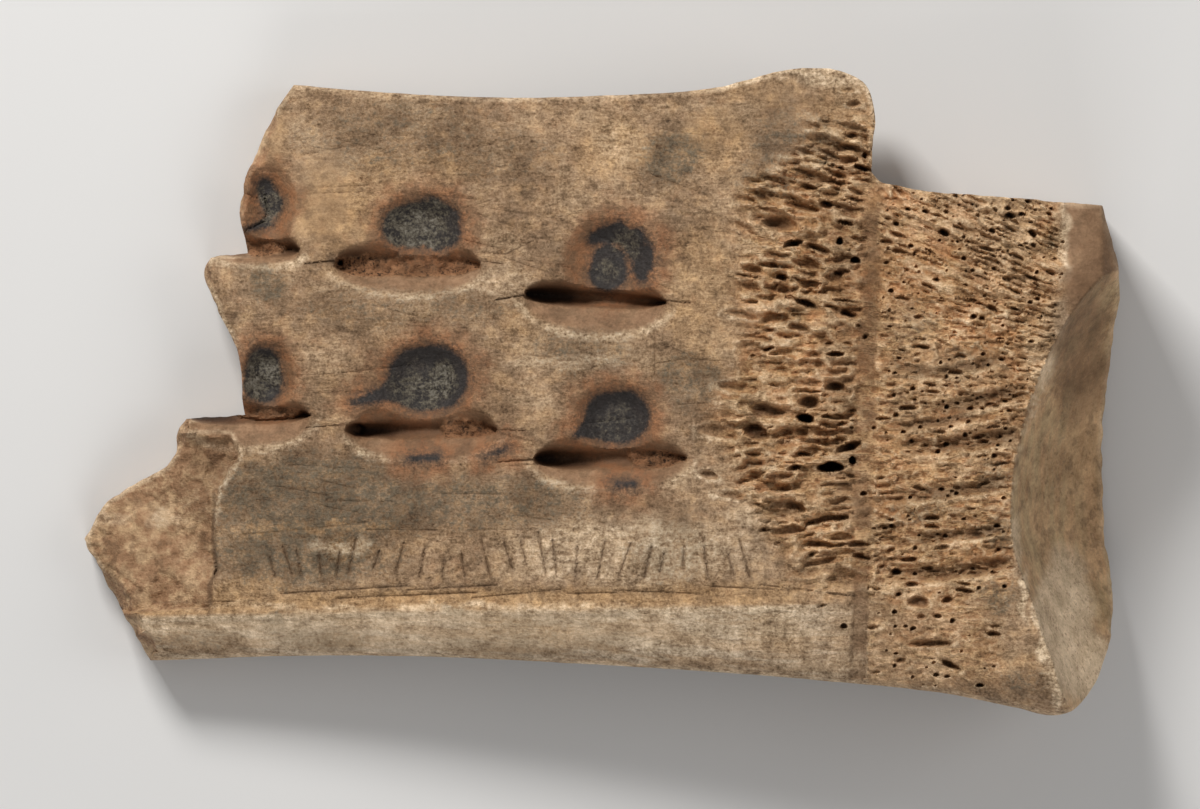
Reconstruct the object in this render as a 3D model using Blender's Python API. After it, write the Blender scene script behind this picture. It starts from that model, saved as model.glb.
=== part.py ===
"""Oracle bone: the socket end of a right ox shoulder blade, sawn, scraped, hollowed and scorched.

The bone lies as it rests on a table, +Z up, +X towards the joint socket, +Y towards the thin front
border. The origin is on the table under the middle of the bone. Sizes are in millimetres, and MM turns
them into Blender's metres where a mesh or an object is made.
"""

from math import radians, sqrt

import bmesh
import bpy
from mathutils import Euler, Matrix, Vector

MM = 0.001

# The scraped face, a plane that climbs towards the thick socket end and the thick rear border.
FACE_LEVEL = 16.8
FACE_RISE_X = 0.147
FACE_RISE_Y = -0.078

# The rear border is rounded off from a ridge, which runs out beyond the saw line, down to a curved edge.
RIDGE_Y = -26.6
RIDGE_RISE = 0.018
RIDGE_RUN_OUT = (34.0, 54.0)
RIDGE_RUN_OUT_DROP = 11.0
REAR_EDGE_Y = -34.6
REAR_EDGE_SLOPE = -0.055
REAR_EDGE_BEND = -0.0009
BORDER_CHAMFER = 1.4
BORDER_ROUND = 4.2

# A shallow trough leads to the saw line that continues the notch across the bone.
TROUGH_START_X = 15.0
SAW_LINE_X = 33.4
TROUGH_END_X = 47.0
TROUGH_DEPTH = 1.9
KERF_WIDTH = 0.9
KERF_DEPTH = 0.9
KERF_Y = (-35.2, 26.0)

# The outer corner of the socket's wall falls away beyond this line.
CORNER_X = 57.6
CORNER_LEAN = 0.16
CORNER_FALL = 0.32
CORNER_Y = (2.0, 12.0)

# Thickness from the scraped face to the underside.
BLADE_THICKNESS = 9.3
FRONT_BORDER_THINNER = 0.8
REAR_BORDER_THICKER = 1.8
SOCKET_THICKNESS = 27.2
SOCKET_MIDDLE_Y = -9.0
SOCKET_FRONT_HALF_WIDTH = 50.0
SOCKET_REAR_HALF_WIDTH = 36.0
SOCKET_ROUNDNESS = 2.6
NECK_X = (-2.0, 55.0)

# The joint socket is a piece of a sphere.
SOCKET_RADIUS = 46.45
SOCKET_CENTRE = (96.2, -15.1, 36.6)

# The blank that the bone is cut from.
BLANK_X = (-66.0, 66.0)
BLANK_Y = (-42.0, 42.0)
BLANK_STEP = 3.0
ABOVE = 60.0
BELOW = -10.0

# Each hollow: a boat-shaped chiselled slot, and the round burnt pit on its +Y side.
# (slot centre, slot half length, slot angle in degrees, pit centre, pit half width, pit half height)
HOLLOWS = (
    ((-44.0, 17.0), 7.6, -2.0, (-43.2, 23.6), 4.0, 4.0),
    ((-24.2, 15.0), 9.6, -3.0, (-22.4, 20.4), 6.2, 4.6),
    ((-0.6, 11.2), 9.8, -4.0, (1.4, 17.4), 6.4, 4.9),
    ((-44.8, -3.5), 8.4, 0.0, (-42.8, 2.6), 4.0, 4.1),
    ((-22.1, -5.6), 9.9, -0.5, (-21.6, 1.3), 6.6, 5.0),
    ((1.3, -9.4), 10.1, 1.0, (1.6, -3.4), 5.6, 4.5),
)
SLOT_HALF_WIDTH = 3.8
SLOT_DEPTH = 4.9
SLOT_LEAN = 20.0
PIT_DEPTH = 2.5

# The outline seen from above, anticlockwise. A True marks a smooth point and a False a corner.
FRONT_BORDER = (
    (14.0, 37.9, True), (0.0, 37.0, True), (-12.5, 36.8, True), (-31.0, 37.8, True), (-38.5, 38.5, False),
)
BROKEN_EDGE = (
    (-40.6, 35.6, False), (-43.4, 29.6, True), (-45.2, 23.4, True), (-44.4, 17.4, False),
    (-49.0, 16.9, False), (-49.8, 15.4, True), (-48.6, 11.3, True), (-45.8, 5.7, True), (-44.6, -3.0, False),
    (-52.0, -3.4, False), (-53.2, -5.0, True), (-53.4, -8.0, True), (-57.1, -10.9, False),
    (-62.0, -14.0, True), (-65.0, -18.6, False), (-61.9, -24.6, False), (-58.6, -30.4, True),
)
REAR_BORDER = (
    (-56.6, -33.9, False), (-31.0, -33.2, True), (0.0, -34.3, True), (31.0, -36.5, True),
    (44.0, -37.9, True), (51.5, -39.4, True), (57.4, -40.3, True),
)
SOCKET_RIM = (
    (60.9, -38.0, True), (63.4, -33.6, True), (64.5, -26.5, True), (63.6, -18.0, True), (63.3, -5.0, True),
    (64.6, 8.0, True), (65.0, 13.0, True), (64.0, 18.5, True), (62.6, 23.1, False),
)
SAWN_NOTCH = (
    (50.0, 24.2, True), (37.6, 25.6, True), (34.2, 26.9, True), (34.0, 29.2, True), (34.3, 34.8, True),
    (33.2, 38.3, True), (30.4, 39.9, True), (25.0, 40.3, True),
)

# The outer layer has split off the broken tip: its outline, and how far the tip lies below the face.
SPLIT_OUTLINE = (
    (-70.0, -28.2), (-48.6, -27.2), (-48.5, -16.0), (-47.9, -12.4), (-45.2, -8.0), (-51.0, -6.2), (-70.0, -6.2),
)
SPLIT_STEP = 1.5
SPLIT_FALL = 0.13

BONE_COLOUR = (0.42, 0.28, 0.16, 1.0)
BONE_ROUGHNESS = 0.62


def smooth_step(start, end, value):
    """0 before start, 1 after end, and an S curve between them."""
    t = min(max((value - start) / (end - start), 0.0), 1.0)
    return t * t * (3.0 - 2.0 * t)


def face_plane(x, y):
    """Height of the scraped plane."""
    return FACE_LEVEL + FACE_RISE_X * x + FACE_RISE_Y * y


def ridge_y(x):
    """Where the rear border starts to round off."""
    return RIDGE_Y + RIDGE_RISE * (x + 50.0) - RIDGE_RUN_OUT_DROP * smooth_step(*RIDGE_RUN_OUT, x)


def border_share(x, y):
    """How far down the rounded rear border a place lies: 0 at the ridge, 1 at the edge."""
    edge_y = REAR_EDGE_Y + REAR_EDGE_SLOPE * x + REAR_EDGE_BEND * x**2
    return min(max((ridge_y(x) - y) / (ridge_y(x) - edge_y), 0.0), 1.0)


def trough(x):
    """Depth of the trough that ends at the saw line."""
    return TROUGH_DEPTH * smooth_step(TROUGH_START_X, SAW_LINE_X, x) * smooth_step(TROUGH_END_X, SAW_LINE_X, x)


def worked_face(x, y):
    """Height of the upper surface before the hollows and the socket."""
    border = border_share(x, y)
    rounding = BORDER_CHAMFER * border + BORDER_ROUND * (1.0 - sqrt(1.0 - border**2))
    corner = max(x - CORNER_X + CORNER_LEAN * (y - 23.0), 0.0) * smooth_step(*CORNER_Y, y)
    return face_plane(x, y) - trough(x) - rounding - CORNER_FALL * corner


def thickness(x, y):
    """Thickness of the bone, from a thin blade to the socket's half-round section."""
    blade = BLADE_THICKNESS + REAR_BORDER_THICKER * smooth_step(-10.0, -30.0, y)
    blade -= FRONT_BORDER_THINNER * smooth_step(12.0, 36.0, y)
    half_width = SOCKET_FRONT_HALF_WIDTH if y > SOCKET_MIDDLE_Y else SOCKET_REAR_HALF_WIDTH
    across = min(abs(y - SOCKET_MIDDLE_Y) / half_width, 1.0)
    socket = SOCKET_THICKNESS * (1.0 - across**SOCKET_ROUNDNESS) ** (1.0 / SOCKET_ROUNDNESS)
    share = smooth_step(*NECK_X, x)
    return blade + (max(socket, blade) - blade) * share


def underside(x, y):
    """Height of the lower surface, worn flat where it touches the table."""
    return max(face_plane(x, y) - thickness(x, y), 0.0)


def link(name, mesh, collection):
    """A new object that shows mesh."""
    made = bpy.data.objects.new(name, mesh)
    collection.objects.link(made)
    return made


def mesh_from(bm, name):
    """A mesh with outward normals from bm, which is freed."""
    bmesh.ops.recalc_face_normals(bm, faces=bm.faces)
    mesh = bpy.data.meshes.new(name)
    bm.to_mesh(mesh)
    bm.free()
    return mesh


def blank(collection):
    """A slab whose top is the worked face and whose bottom is the underside."""
    width, depth = BLANK_X[1] - BLANK_X[0], BLANK_Y[1] - BLANK_Y[0]
    bm = bmesh.new()
    bmesh.ops.create_grid(
        bm,
        x_segments=round(width / BLANK_STEP),
        y_segments=round(depth / BLANK_STEP),
        size=0.5,
        matrix=Matrix.Diagonal((width, depth, 1.0, 1.0)),
    )
    raised = bmesh.ops.extrude_face_region(bm, geom=bm.faces[:])["geom"]
    top = {item for item in raised if isinstance(item, bmesh.types.BMVert)}
    for vert in bm.verts:
        height = worked_face if vert in top else underside
        vert.co.z = height(vert.co.x, vert.co.y)
    bmesh.ops.scale(bm, vec=(MM, MM, MM), verts=bm.verts)
    return link("bone", mesh_from(bm, "bone"), collection)


def prism(name, points, collection, bottom=None):
    """A closed prism on an outline of (x, y, is_smooth) points, whose lower face can follow a function."""
    curve = bpy.data.curves.new(name, "CURVE")
    curve.dimensions = "2D"
    curve.fill_mode = "BOTH"
    curve.extrude = (ABOVE - BELOW) / 2.0
    curve.resolution_u = 3
    spline = curve.splines.new("BEZIER")
    spline.use_cyclic_u = True
    spline.bezier_points.add(len(points) - 1)
    for knot, (x, y, is_smooth) in zip(spline.bezier_points, points):
        knot.co = (x, y, 0.0)
        knot.handle_left_type = knot.handle_right_type = "AUTO" if is_smooth else "VECTOR"
    guide = link(name + "_guide", curve, collection)
    bpy.context.view_layer.update()
    mesh = bpy.data.meshes.new_from_object(guide.evaluated_get(bpy.context.evaluated_depsgraph_get()))
    bpy.data.objects.remove(guide)
    bm = bmesh.new()
    bm.from_mesh(mesh)
    bpy.data.meshes.remove(mesh)
    bmesh.ops.remove_doubles(bm, verts=bm.verts, dist=0.01)
    for vert in bm.verts:
        if vert.co.z > 0.0:
            vert.co.z = ABOVE
        else:
            vert.co.z = bottom(vert.co.x, vert.co.y) if bottom else BELOW
    bmesh.ops.scale(bm, vec=(MM, MM, MM), verts=bm.verts)
    return link(name, mesh_from(bm, name), collection)


def ellipsoid(name, centre, half_axes, turn, segments, collection):
    """A scaled sphere with its scale in the mesh."""
    place = Matrix.Translation(Vector(centre) * MM) @ turn.to_matrix().to_4x4()
    bm = bmesh.new()
    bmesh.ops.create_uvsphere(
        bm,
        u_segments=segments,
        v_segments=segments // 2,
        radius=1.0,
        matrix=place @ Matrix.Diagonal((*(axis * MM for axis in half_axes), 1.0)),
    )
    return link(name, mesh_from(bm, name), collection)


def hollow_cutters(collection):
    """The slot and the pit of each hollow."""
    cutters = []
    for number, (slot, half_length, angle, pit, pit_width, pit_height) in enumerate(HOLLOWS, 1):
        turn = Euler((radians(SLOT_LEAN), 0.0, radians(angle)))
        centre = (*slot, face_plane(*slot))
        size = (half_length, SLOT_HALF_WIDTH, SLOT_DEPTH)
        cutters.append(ellipsoid(f"slot_cutter_{number}", centre, size, turn, 24, collection))
        centre = (*pit, face_plane(*pit))
        size = (pit_width, pit_height, PIT_DEPTH)
        cutters.append(ellipsoid(f"pit_cutter_{number}", centre, size, Euler((0, 0, 0)), 20, collection))
    return cutters


def split_cutter(collection):
    """Takes off the outer layer that has split away from the broken tip."""

    def bottom(x, y):
        return face_plane(x, y) - SPLIT_STEP + SPLIT_FALL * (x - SPLIT_OUTLINE[1][0])

    corners = [(x, y, False) for x, y in SPLIT_OUTLINE]
    return prism("split_cutter", corners, collection, bottom)


def kerf_cutter(collection):
    """The saw line across the bone at the notch."""
    low, high = KERF_Y
    left, right = SAW_LINE_X - KERF_WIDTH / 2.0, SAW_LINE_X + KERF_WIDTH / 2.0
    corners = ((left, low, False), (right, low, False), (right, high, False), (left, high, False))
    return prism("kerf_cutter", corners, collection, lambda x, y: worked_face(x, y) - KERF_DEPTH)


def bone_material():
    """Weathered tan bone."""
    material = bpy.data.materials.new("weathered_bone")
    material.use_nodes = True
    shader = material.node_tree.nodes["Principled BSDF"]
    shader.inputs["Base Color"].default_value = BONE_COLOUR
    shader.inputs["Roughness"].default_value = BONE_ROUGHNESS
    shader.inputs["Metallic"].default_value = 0.0
    return material


def main():
    for old in list(bpy.data.objects):
        bpy.data.objects.remove(old)
    parts = bpy.data.collections.new("oracle_bone")
    cutters = bpy.data.collections.new("cutters")
    for collection in (parts, cutters):
        bpy.context.scene.collection.children.link(collection)

    bone = blank(parts)
    outline = prism("outline_cutter", FRONT_BORDER + BROKEN_EDGE + REAR_BORDER + SOCKET_RIM + SAWN_NOTCH, cutters)
    cup = ellipsoid("socket_cutter", SOCKET_CENTRE, (SOCKET_RADIUS,) * 3, Euler((0, 0, 0)), 64, cutters)
    cuts = [(outline, "INTERSECT"), (cup, "DIFFERENCE")]
    cuts += [(cutter, "DIFFERENCE") for cutter in hollow_cutters(cutters)]
    cuts += [(split_cutter(cutters), "DIFFERENCE"), (kerf_cutter(cutters), "DIFFERENCE")]
    for cutter, operation in cuts:
        cutter.hide_render = True
        cutter.display_type = "WIRE"
        cut = bone.modifiers.new(cutter.name, "BOOLEAN")
        cut.object = cutter
        cut.operation = operation
    bone.data.materials.append(bone_material())


main()
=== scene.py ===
"""Oracle bone: the fine surface, finish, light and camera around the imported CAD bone.

The frame is the CAD's: the bone lies on its underside, +Z up out of the hollowed face, +X towards the
joint socket and +Y towards the thin front border. Sizes are in millimetres, and MM turns them into
Blender's metres. The main shapes repeat part.py's values, because this script can't read that file, and
the open pores, cracks, strokes, worn edges, scorching and stains are made here.
"""

from math import cos, pi, radians, sin
from types import SimpleNamespace

import bpy
import numpy as np
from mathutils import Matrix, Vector, kdtree
from mathutils.geometry import delaunay_2d_cdt, interpolate_bezier


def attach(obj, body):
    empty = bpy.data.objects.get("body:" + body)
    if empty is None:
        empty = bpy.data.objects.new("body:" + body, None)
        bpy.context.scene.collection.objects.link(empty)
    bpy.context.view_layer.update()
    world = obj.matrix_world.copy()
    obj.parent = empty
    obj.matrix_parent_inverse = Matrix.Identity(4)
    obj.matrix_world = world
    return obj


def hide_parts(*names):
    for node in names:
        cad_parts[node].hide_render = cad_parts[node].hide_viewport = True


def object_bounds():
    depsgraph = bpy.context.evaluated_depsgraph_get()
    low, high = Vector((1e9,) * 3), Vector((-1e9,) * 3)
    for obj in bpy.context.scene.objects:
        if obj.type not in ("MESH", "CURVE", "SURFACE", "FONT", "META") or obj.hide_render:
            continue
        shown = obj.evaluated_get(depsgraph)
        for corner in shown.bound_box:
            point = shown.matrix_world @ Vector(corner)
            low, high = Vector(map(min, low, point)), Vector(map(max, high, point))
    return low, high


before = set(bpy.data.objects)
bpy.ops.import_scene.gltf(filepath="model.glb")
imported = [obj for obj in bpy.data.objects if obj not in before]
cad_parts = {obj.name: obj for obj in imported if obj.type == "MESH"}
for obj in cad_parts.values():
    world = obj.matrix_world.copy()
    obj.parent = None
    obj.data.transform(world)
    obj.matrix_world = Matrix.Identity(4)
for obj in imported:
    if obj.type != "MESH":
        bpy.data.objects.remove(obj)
cad_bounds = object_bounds()

MM = 0.001

# The worked face: a tilted plane, rounded off along the rear border, with a trough at the saw line.
FACE_LEVEL = 16.8
FACE_RISE_X = 0.147
FACE_RISE_Y = -0.078
RIDGE_Y = -26.6
RIDGE_RISE = 0.018
RIDGE_RUN_OUT = (34.0, 54.0)
RIDGE_RUN_OUT_DROP = 11.0
REAR_EDGE_Y = -34.6
REAR_EDGE_SLOPE = -0.055
REAR_EDGE_BEND = -0.0009
BORDER_CHAMFER = 1.4
BORDER_ROUND = 4.2
TROUGH_START_X = 15.0
SAW_LINE_X = 33.4
TROUGH_END_X = 47.0
TROUGH_DEPTH = 1.9
CORNER_X = 57.6
CORNER_LEAN = 0.16
CORNER_LEAN_Y = 23.0
CORNER_FALL = 0.32
CORNER_Y = (2.0, 12.0)
SIDE_FACET_X = 62.5
SIDE_FACET_LEAN = 0.2
SIDE_FACET_LEAN_Y = 15.0
SIDE_FACET_FALL = 1.1
SIDE_FACET_Y = (6.0, 10.0)

# The worn crest of the ridge stands this far below the line where the rounding starts. Its rise and the
# dip above it are each a height, a distance above the crest and a width, and fade out between two x.
CREST_DROP_Y = 1.5
CREST_RISE = (0.32, -0.1, 0.55)
CREST_DIP = (0.34, 1.7, 1.0)
CREST_FADE_X = (30.0, 12.0)

# Thickness from the worked face to the underside.
BLADE_THICKNESS = 9.3
FRONT_BORDER_THINNER = 0.8
FRONT_BORDER_Y = (12.0, 36.0)
REAR_BORDER_THICKER = 1.8
REAR_BORDER_Y = (-10.0, -30.0)
SOCKET_THICKNESS = 27.2
SOCKET_MIDDLE_Y = -9.0
SOCKET_FRONT_HALF_WIDTH = 50.0
SOCKET_REAR_HALF_WIDTH = 36.0
SOCKET_ROUNDNESS = 2.6
NECK_X = (-2.0, 55.0)

# The joint socket is a piece of a sphere, and its rim is worn back towards +X between two fading places.
SOCKET_RADIUS = 46.45
SOCKET_CENTRE = (96.2, -15.1, 36.6)
SOCKET_WORN_X = 1.7
SOCKET_WORN_Y = ((-17.0, -28.0), (-42.0, -33.0))

# Each hollow's trench: (middle, half length, angle in degrees, half width, depth, reach of the slope on
# its lower side, reach of the slope on its upper side, how much shallower it gets to the right and how much
# its painted shade lightens there)
TRENCHES = (
    ((-43.5, 18.0), 5.8, -3.0, 1.4, 3.6, 2.4, 2.4, 0.4),
    ((-24.1, 15.8), 9.2, -1.0, 1.7, 3.3, 3.9, 3.2, 0.3),
    ((-0.6, 11.6), 8.9, -3.6, 1.3, 4.6, 4.8, 2.3, 0.2),
    ((-44.2, -3.0), 7.8, 0.0, 1.3, 4.2, 4.4, 2.3, 0.3),
    ((-22.0, -4.9), 9.2, 0.0, 1.3, 4.4, 4.1, 3.5, 0.5),
    ((1.3, -8.5), 9.5, 0.0, 1.5, 4.4, 4.0, 2.9, 0.4),
)
SLOPE_DEPTH = 2.1
UPPER_SLOPE_DEPTH = 3.0

# Deep holes in the trenches, with painted shade around them: (x, y, radius)
TRENCH_HOLES = ((-30.3, -4.8, 0.95), (-32.6, 16.1, 0.5))
TRENCH_HOLE_DEPTH = 4.6

# Each hollow's round pit: (middle, half width, half height)
PITS = (
    ((-41.6, 24.0), 3.9, 5.2),
    ((-22.3, 20.6), 6.4, 4.8),
    ((1.0, 16.9), 6.5, 5.5),
    ((-41.6, 2.4), 3.8, 4.4),
    ((-21.8, 1.4), 7.0, 5.5),
    ((2.0, -3.2), 5.9, 5.0),
)
PIT_DEPTH = 2.4
PIT_LOWER_REACH = 1.7

# Scorched spots: chains of discs (x, y, radius), and how patchy the char is.
SCORCHES = (
    (((-42.3, 25.6, 1.2), (-41.2, 23.6, 1.4), (-41.8, 21.3, 0.8), (-44.9, 20.1, 0.15)), 0.7),
    (((-24.6, 20.6, 2.7), (-21.2, 21.2, 3.1), (-20.4, 20.6, 3.1)), 0.6),
    (((1.0, 16.4, 2.1), (1.0, 15.0, 2.5)), 0.5),
    (((-0.6, 19.0, 0.9), (1.8, 19.9, 1.5), (4.2, 19.0, 1.6), (5.3, 17.0, 1.6), (5.2, 14.3, 1.1)), 0.9),
    (((2.6, 18.4, 0.3), (4.0, 16.6, 0.3), (3.9, 14.6, 0.2)), 0.3),
    (((-42.2, 3.5, 2.1), (-42.3, 1.1, 2.6)), 0.6),
    (((-22.6, 1.5, 4.0), (-20.6, 1.7, 4.1)), 0.2),
    (((-30.9, -1.5, 0.3), (-27.2, -0.4, 0.9), (-24.0, 0.8, 2.9)), 0.0),
    (((1.2, -3.3, 3.2), (2.9, -3.2, 3.3)), 0.2),
    (((-3.2, -5.6, 0.1), (0.4, -3.9, 2.7)), 0.1),
    (((-24.2, -8.5, 0.35), (-20.4, -8.4, 0.5)), 0.4),
    (((-14.6, -8.2, 0.25), (-11.6, -7.2, 0.3)), 0.4),
    (((1.6, -11.7, 0.35), (4.2, -11.6, 0.45)), 0.6),
)

# Ash on the char: (x, y, radius, strength)
ASH_SPOTS = (
    (-20.0, 1.2, 3.6, 1.0), (-22.8, 0.2, 5.4, 0.6), (1.6, -4.2, 5.0, 0.3), (-23.2, 20.2, 8.4, 0.7),
    (-42.2, 2.2, 5.2, 0.85), (1.0, 15.2, 3.4, 0.45), (-42.0, 23.4, 4.2, 0.75), (3.4, 18.6, 4.6, 0.4),
)

# The outline seen from above, anticlockwise. A True marks a smooth point and a False a corner.
FRONT_BORDER = (
    (14.0, 37.9, True), (0.0, 37.0, True), (-12.5, 36.8, True), (-31.0, 37.8, True), (-38.5, 38.5, False),
)
BROKEN_EDGE = (
    (-40.6, 35.6, False), (-43.4, 29.6, True), (-45.2, 23.4, True), (-44.4, 17.4, False),
    (-49.0, 16.9, False), (-49.8, 15.4, True), (-48.6, 11.3, True), (-45.8, 5.7, True), (-44.6, -3.0, False),
    (-52.0, -3.4, False), (-53.2, -5.0, True), (-53.4, -8.0, True), (-57.1, -10.9, False),
    (-62.0, -14.0, True), (-65.0, -18.6, False), (-61.9, -24.6, False), (-58.6, -30.4, True),
)
REAR_BORDER = (
    (-56.6, -33.9, False), (-31.0, -33.2, True), (0.0, -34.3, True), (31.0, -36.5, True),
    (44.0, -37.9, True), (51.5, -39.4, True), (57.4, -40.3, True),
)
SOCKET_RIM = (
    (60.9, -38.0, True), (63.4, -33.6, True), (64.5, -26.5, True), (63.6, -18.0, True), (63.3, -5.0, True),
    (64.6, 8.0, True), (65.0, 13.0, True), (64.0, 18.5, True), (62.6, 23.1, False),
)
SAWN_NOTCH = (
    (50.0, 24.2, True), (37.6, 25.6, True), (34.2, 26.9, True), (34.0, 29.2, True), (34.3, 34.8, True),
    (33.2, 38.3, True), (30.4, 39.9, True), (25.0, 40.3, True),
)
# Each stretch of the outline: (its points, radius of its upper edge, of its lower edge, raggedness, and
# 1 where its wall shows the broken or sawn inside of the bone)
EDGES = (
    (FRONT_BORDER, 0.7, 1.6, 0.05, 0.0),
    (BROKEN_EDGE, 0.25, 0.3, 0.24, 1.0),
    (REAR_BORDER, 0.9, 2.0, 0.05, 0.0),
    (SOCKET_RIM, 0.35, 0.6, 0.2, 0.0),
    (SAWN_NOTCH, 0.3, 0.8, 0.12, 1.0),
)
OUTLINE_STEP = 0.42

# Where the broken wall leans out and shows from above: (x, y, reach along the edge, width)
BEVELS = (
    (-42.6, 31.0, 5.5, 1.7), (-44.6, 24.6, 4.0, 1.2), (-60.6, -27.0, 7.0, 1.7), (-57.4, -32.4, 3.0, 1.9),
    (-52.9, -5.6, 3.2, 1.6), (-49.2, 14.4, 2.5, 1.0),
)
BEVEL_SLOPE = 1.5

# The outer layer has split off the broken tip: the step down to the rough surface, how it rises towards
# +X, how deep its lumps are set into it, and the shoulder at its front end.
SPLIT_OUTLINE = (
    (-70.0, -28.2), (-48.6, -27.2), (-48.5, -16.0), (-47.9, -12.4), (-45.2, -8.0), (-46.4, -5.4),
    (-70.0, -5.4),
)
SPLIT_STEP = 1.5
SPLIT_FALL = 0.13
SPLIT_LUMPS = 0.7
SPLIT_SHOULDER = 1.2
SPLIT_SHOULDER_Y = (-6.6, -5.5)

# The open spongy bone lies between about these values of x.
SPONGY_LEFT_X = 17.5
SPONGY_RIGHT_X = 57.2

# Single large openings in the spongy bone: (x, y, half length, half width, angle in degrees, depth)
LARGE_CELLS = (
    (22.2, 21.0, 3.1, 1.05, -15.0, 1.3), (24.2, 18.5, 1.4, 0.4, 12.0, 2.4),
    (27.3, 17.9, 2.0, 0.35, -22.0, 1.4), (25.3, 23.0, 2.4, 0.45, -12.0, 1.0),
    (28.2, 23.3, 0.9, 0.5, -20.0, 1.8), (30.0, 18.8, 0.5, 0.5, 0.0, 3.0),
    (31.9, 16.4, 0.6, 0.45, 0.0, 3.0), (30.2, 14.9, 1.0, 0.4, 0.0, 1.6),
    (21.1, 15.8, 1.3, 0.35, -8.0, 1.0), (25.5, 11.1, 1.3, 0.42, -12.0, 2.0),
    (24.7, 8.0, 1.5, 0.5, -5.0, 1.4), (22.4, 2.9, 2.7, 0.85, -8.0, 0.8), (17.3, 0.5, 2.9, 0.7, -8.0, 0.6),
    (20.8, -2.4, 2.5, 1.0, -12.0, 1.4), (26.0, -1.4, 1.5, 0.85, 0.0, 1.8),
    (25.6, -3.4, 1.25, 0.6, -6.0, 4.0), (29.2, 0.6, 1.4, 0.6, 0.0, 1.7),
    (19.4, -5.1, 1.9, 1.0, -20.0, 1.9), (23.8, -5.3, 2.3, 0.8, 2.0, 0.9),
    (28.9, -9.4, 1.75, 0.66, 0.0, 4.5), (31.2, -6.9, 1.6, 0.6, 15.0, 2.2),
    (31.5, -8.6, 0.45, 0.5, 0.0, 3.5), (21.2, -11.8, 2.2, 0.8, 0.0, 1.0),
    (13.5, -10.4, 1.5, 0.5, -18.0, 0.8), (24.4, -14.4, 1.4, 0.5, -12.0, 1.1),
    (28.2, -16.0, 3.1, 0.42, 9.0, 1.5), (27.2, -19.1, 2.4, 0.45, -6.0, 1.0),
    (32.2, -19.1, 1.5, 0.4, 0.0, 1.9), (32.7, -20.7, 1.25, 0.4, -10.0, 2.0),
    (27.8, -21.3, 3.1, 0.45, 9.0, 0.8), (14.7, -5.0, 2.7, 0.85, -10.0, 0.6),
    (16.6, -13.0, 2.4, 0.5, -8.0, 0.5), (17.6, 9.6, 2.3, 0.5, -12.0, 0.6),
    (24.4, 27.2, 1.9, 0.65, -4.0, 0.5), (24.4, 25.6, 2.8, 0.65, -6.0, 0.6),
    (31.7, 35.9, 0.95, 0.5, 0.0, 0.9), (31.1, 37.6, 0.9, 0.3, 0.0, 0.4),
    (31.5, 31.9, 0.9, 0.5, 0.0, 0.45), (33.2, 29.5, 0.4, 0.35, 0.0, 1.6),
    (42.9, 19.8, 0.8, 0.42, -30.0, 2.2), (51.1, 21.9, 0.65, 0.4, -20.0, 2.0),
    (53.9, 19.6, 0.7, 0.35, -50.0, 1.8), (41.0, -31.4, 3.1, 0.55, 2.0, 1.1),
    (43.7, -34.1, 1.35, 0.42, -25.0, 1.8), (39.6, -26.2, 1.4, 0.75, 0.0, 1.2),
    (40.1, -28.1, 0.6, 0.45, 0.0, 0.8), (30.4, -29.3, 0.4, 0.32, 0.0, 1.5),
    (36.9, -22.5, 0.65, 0.36, 0.0, 2.0), (47.3, -36.6, 0.5, 0.25, 0.0, 1.5),
    (43.4, -26.0, 0.8, 0.4, 10.0, 1.2), (42.0, -28.0, 0.5, 0.3, 0.0, 0.9),
    (32.2, 8.2, 0.28, 0.22, 0.0, 0.9), (33.2, 6.8, 0.4, 0.3, 20.0, 1.4),
    (34.2, -4.6, 0.3, 0.25, 0.0, 1.2), (32.9, -12.8, 0.4, 0.3, 0.0, 1.8),
    (31.4, -4.5, 0.25, 0.2, 0.0, 0.9),
)

# Fields of open pores: (corner, opposite corner, tries, half lengths, half widths, depths)
PORE_FIELDS = (
    ((15.0, -28.0), (34.0, 31.0), 170, (0.5, 1.5), (0.22, 0.42), (0.5, 2.4)),
    ((33.0, -38.0), (58.0, 28.0), 520, (0.4, 1.2), (0.18, 0.34), (0.3, 1.2)),
    ((33.0, -38.0), (58.0, 28.0), 1250, (0.17, 0.4), (0.15, 0.28), (0.3, 1.5)),
)

# Crumbling spongy bone fills parts of the trenches: (centre, half length, half width)
TRENCH_FILLS = (
    ((-24.3, 15.5), 9.4, 2.3), ((-16.2, -4.8), 3.4, 2.3), ((7.2, -8.3), 4.2, 2.6), ((-41.6, -2.4), 4.2, 1.2),
    ((-42.6, 18.3), 3.0, 1.5),
)
FILL_LEVEL = 2.3

# Worn grooves that run to the socket's rim: (start, end, half width, depth)
GROOVES = (
    ((40.0, -2.8), (53.6, 0.2), 1.2, 1.0),
    ((37.5, -7.4), (52.6, -5.4), 1.3, 1.2),
    ((36.0, -4.9), (47.0, -3.0), 0.8, 0.7),
    ((36.0, -13.4), (51.0, -11.4), 1.0, 0.8),
    ((37.0, -18.9), (51.0, -17.0), 0.9, 0.7),
    ((35.5, -23.5), (51.9, -21.4), 1.2, 1.2),
    ((38.0, 1.6), (50.5, 4.0), 0.8, 0.6),
    ((35.0, 3.2), (44.0, 2.0), 0.9, 0.4),
    ((20.5, 30.0), (32.0, 30.3), 0.6, 0.5),
)

# The saw cut's shallow band crosses the bone: its middle at y = 0, its lean, half width and depth.
SAW_BAND_X = 33.2
SAW_BAND_LEAN = 0.028
SAW_BAND_HALF_WIDTH = 0.95
SAW_BAND_DEPTH = 0.4
SAW_BAND_Y = (-36.0, 26.4)

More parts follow.
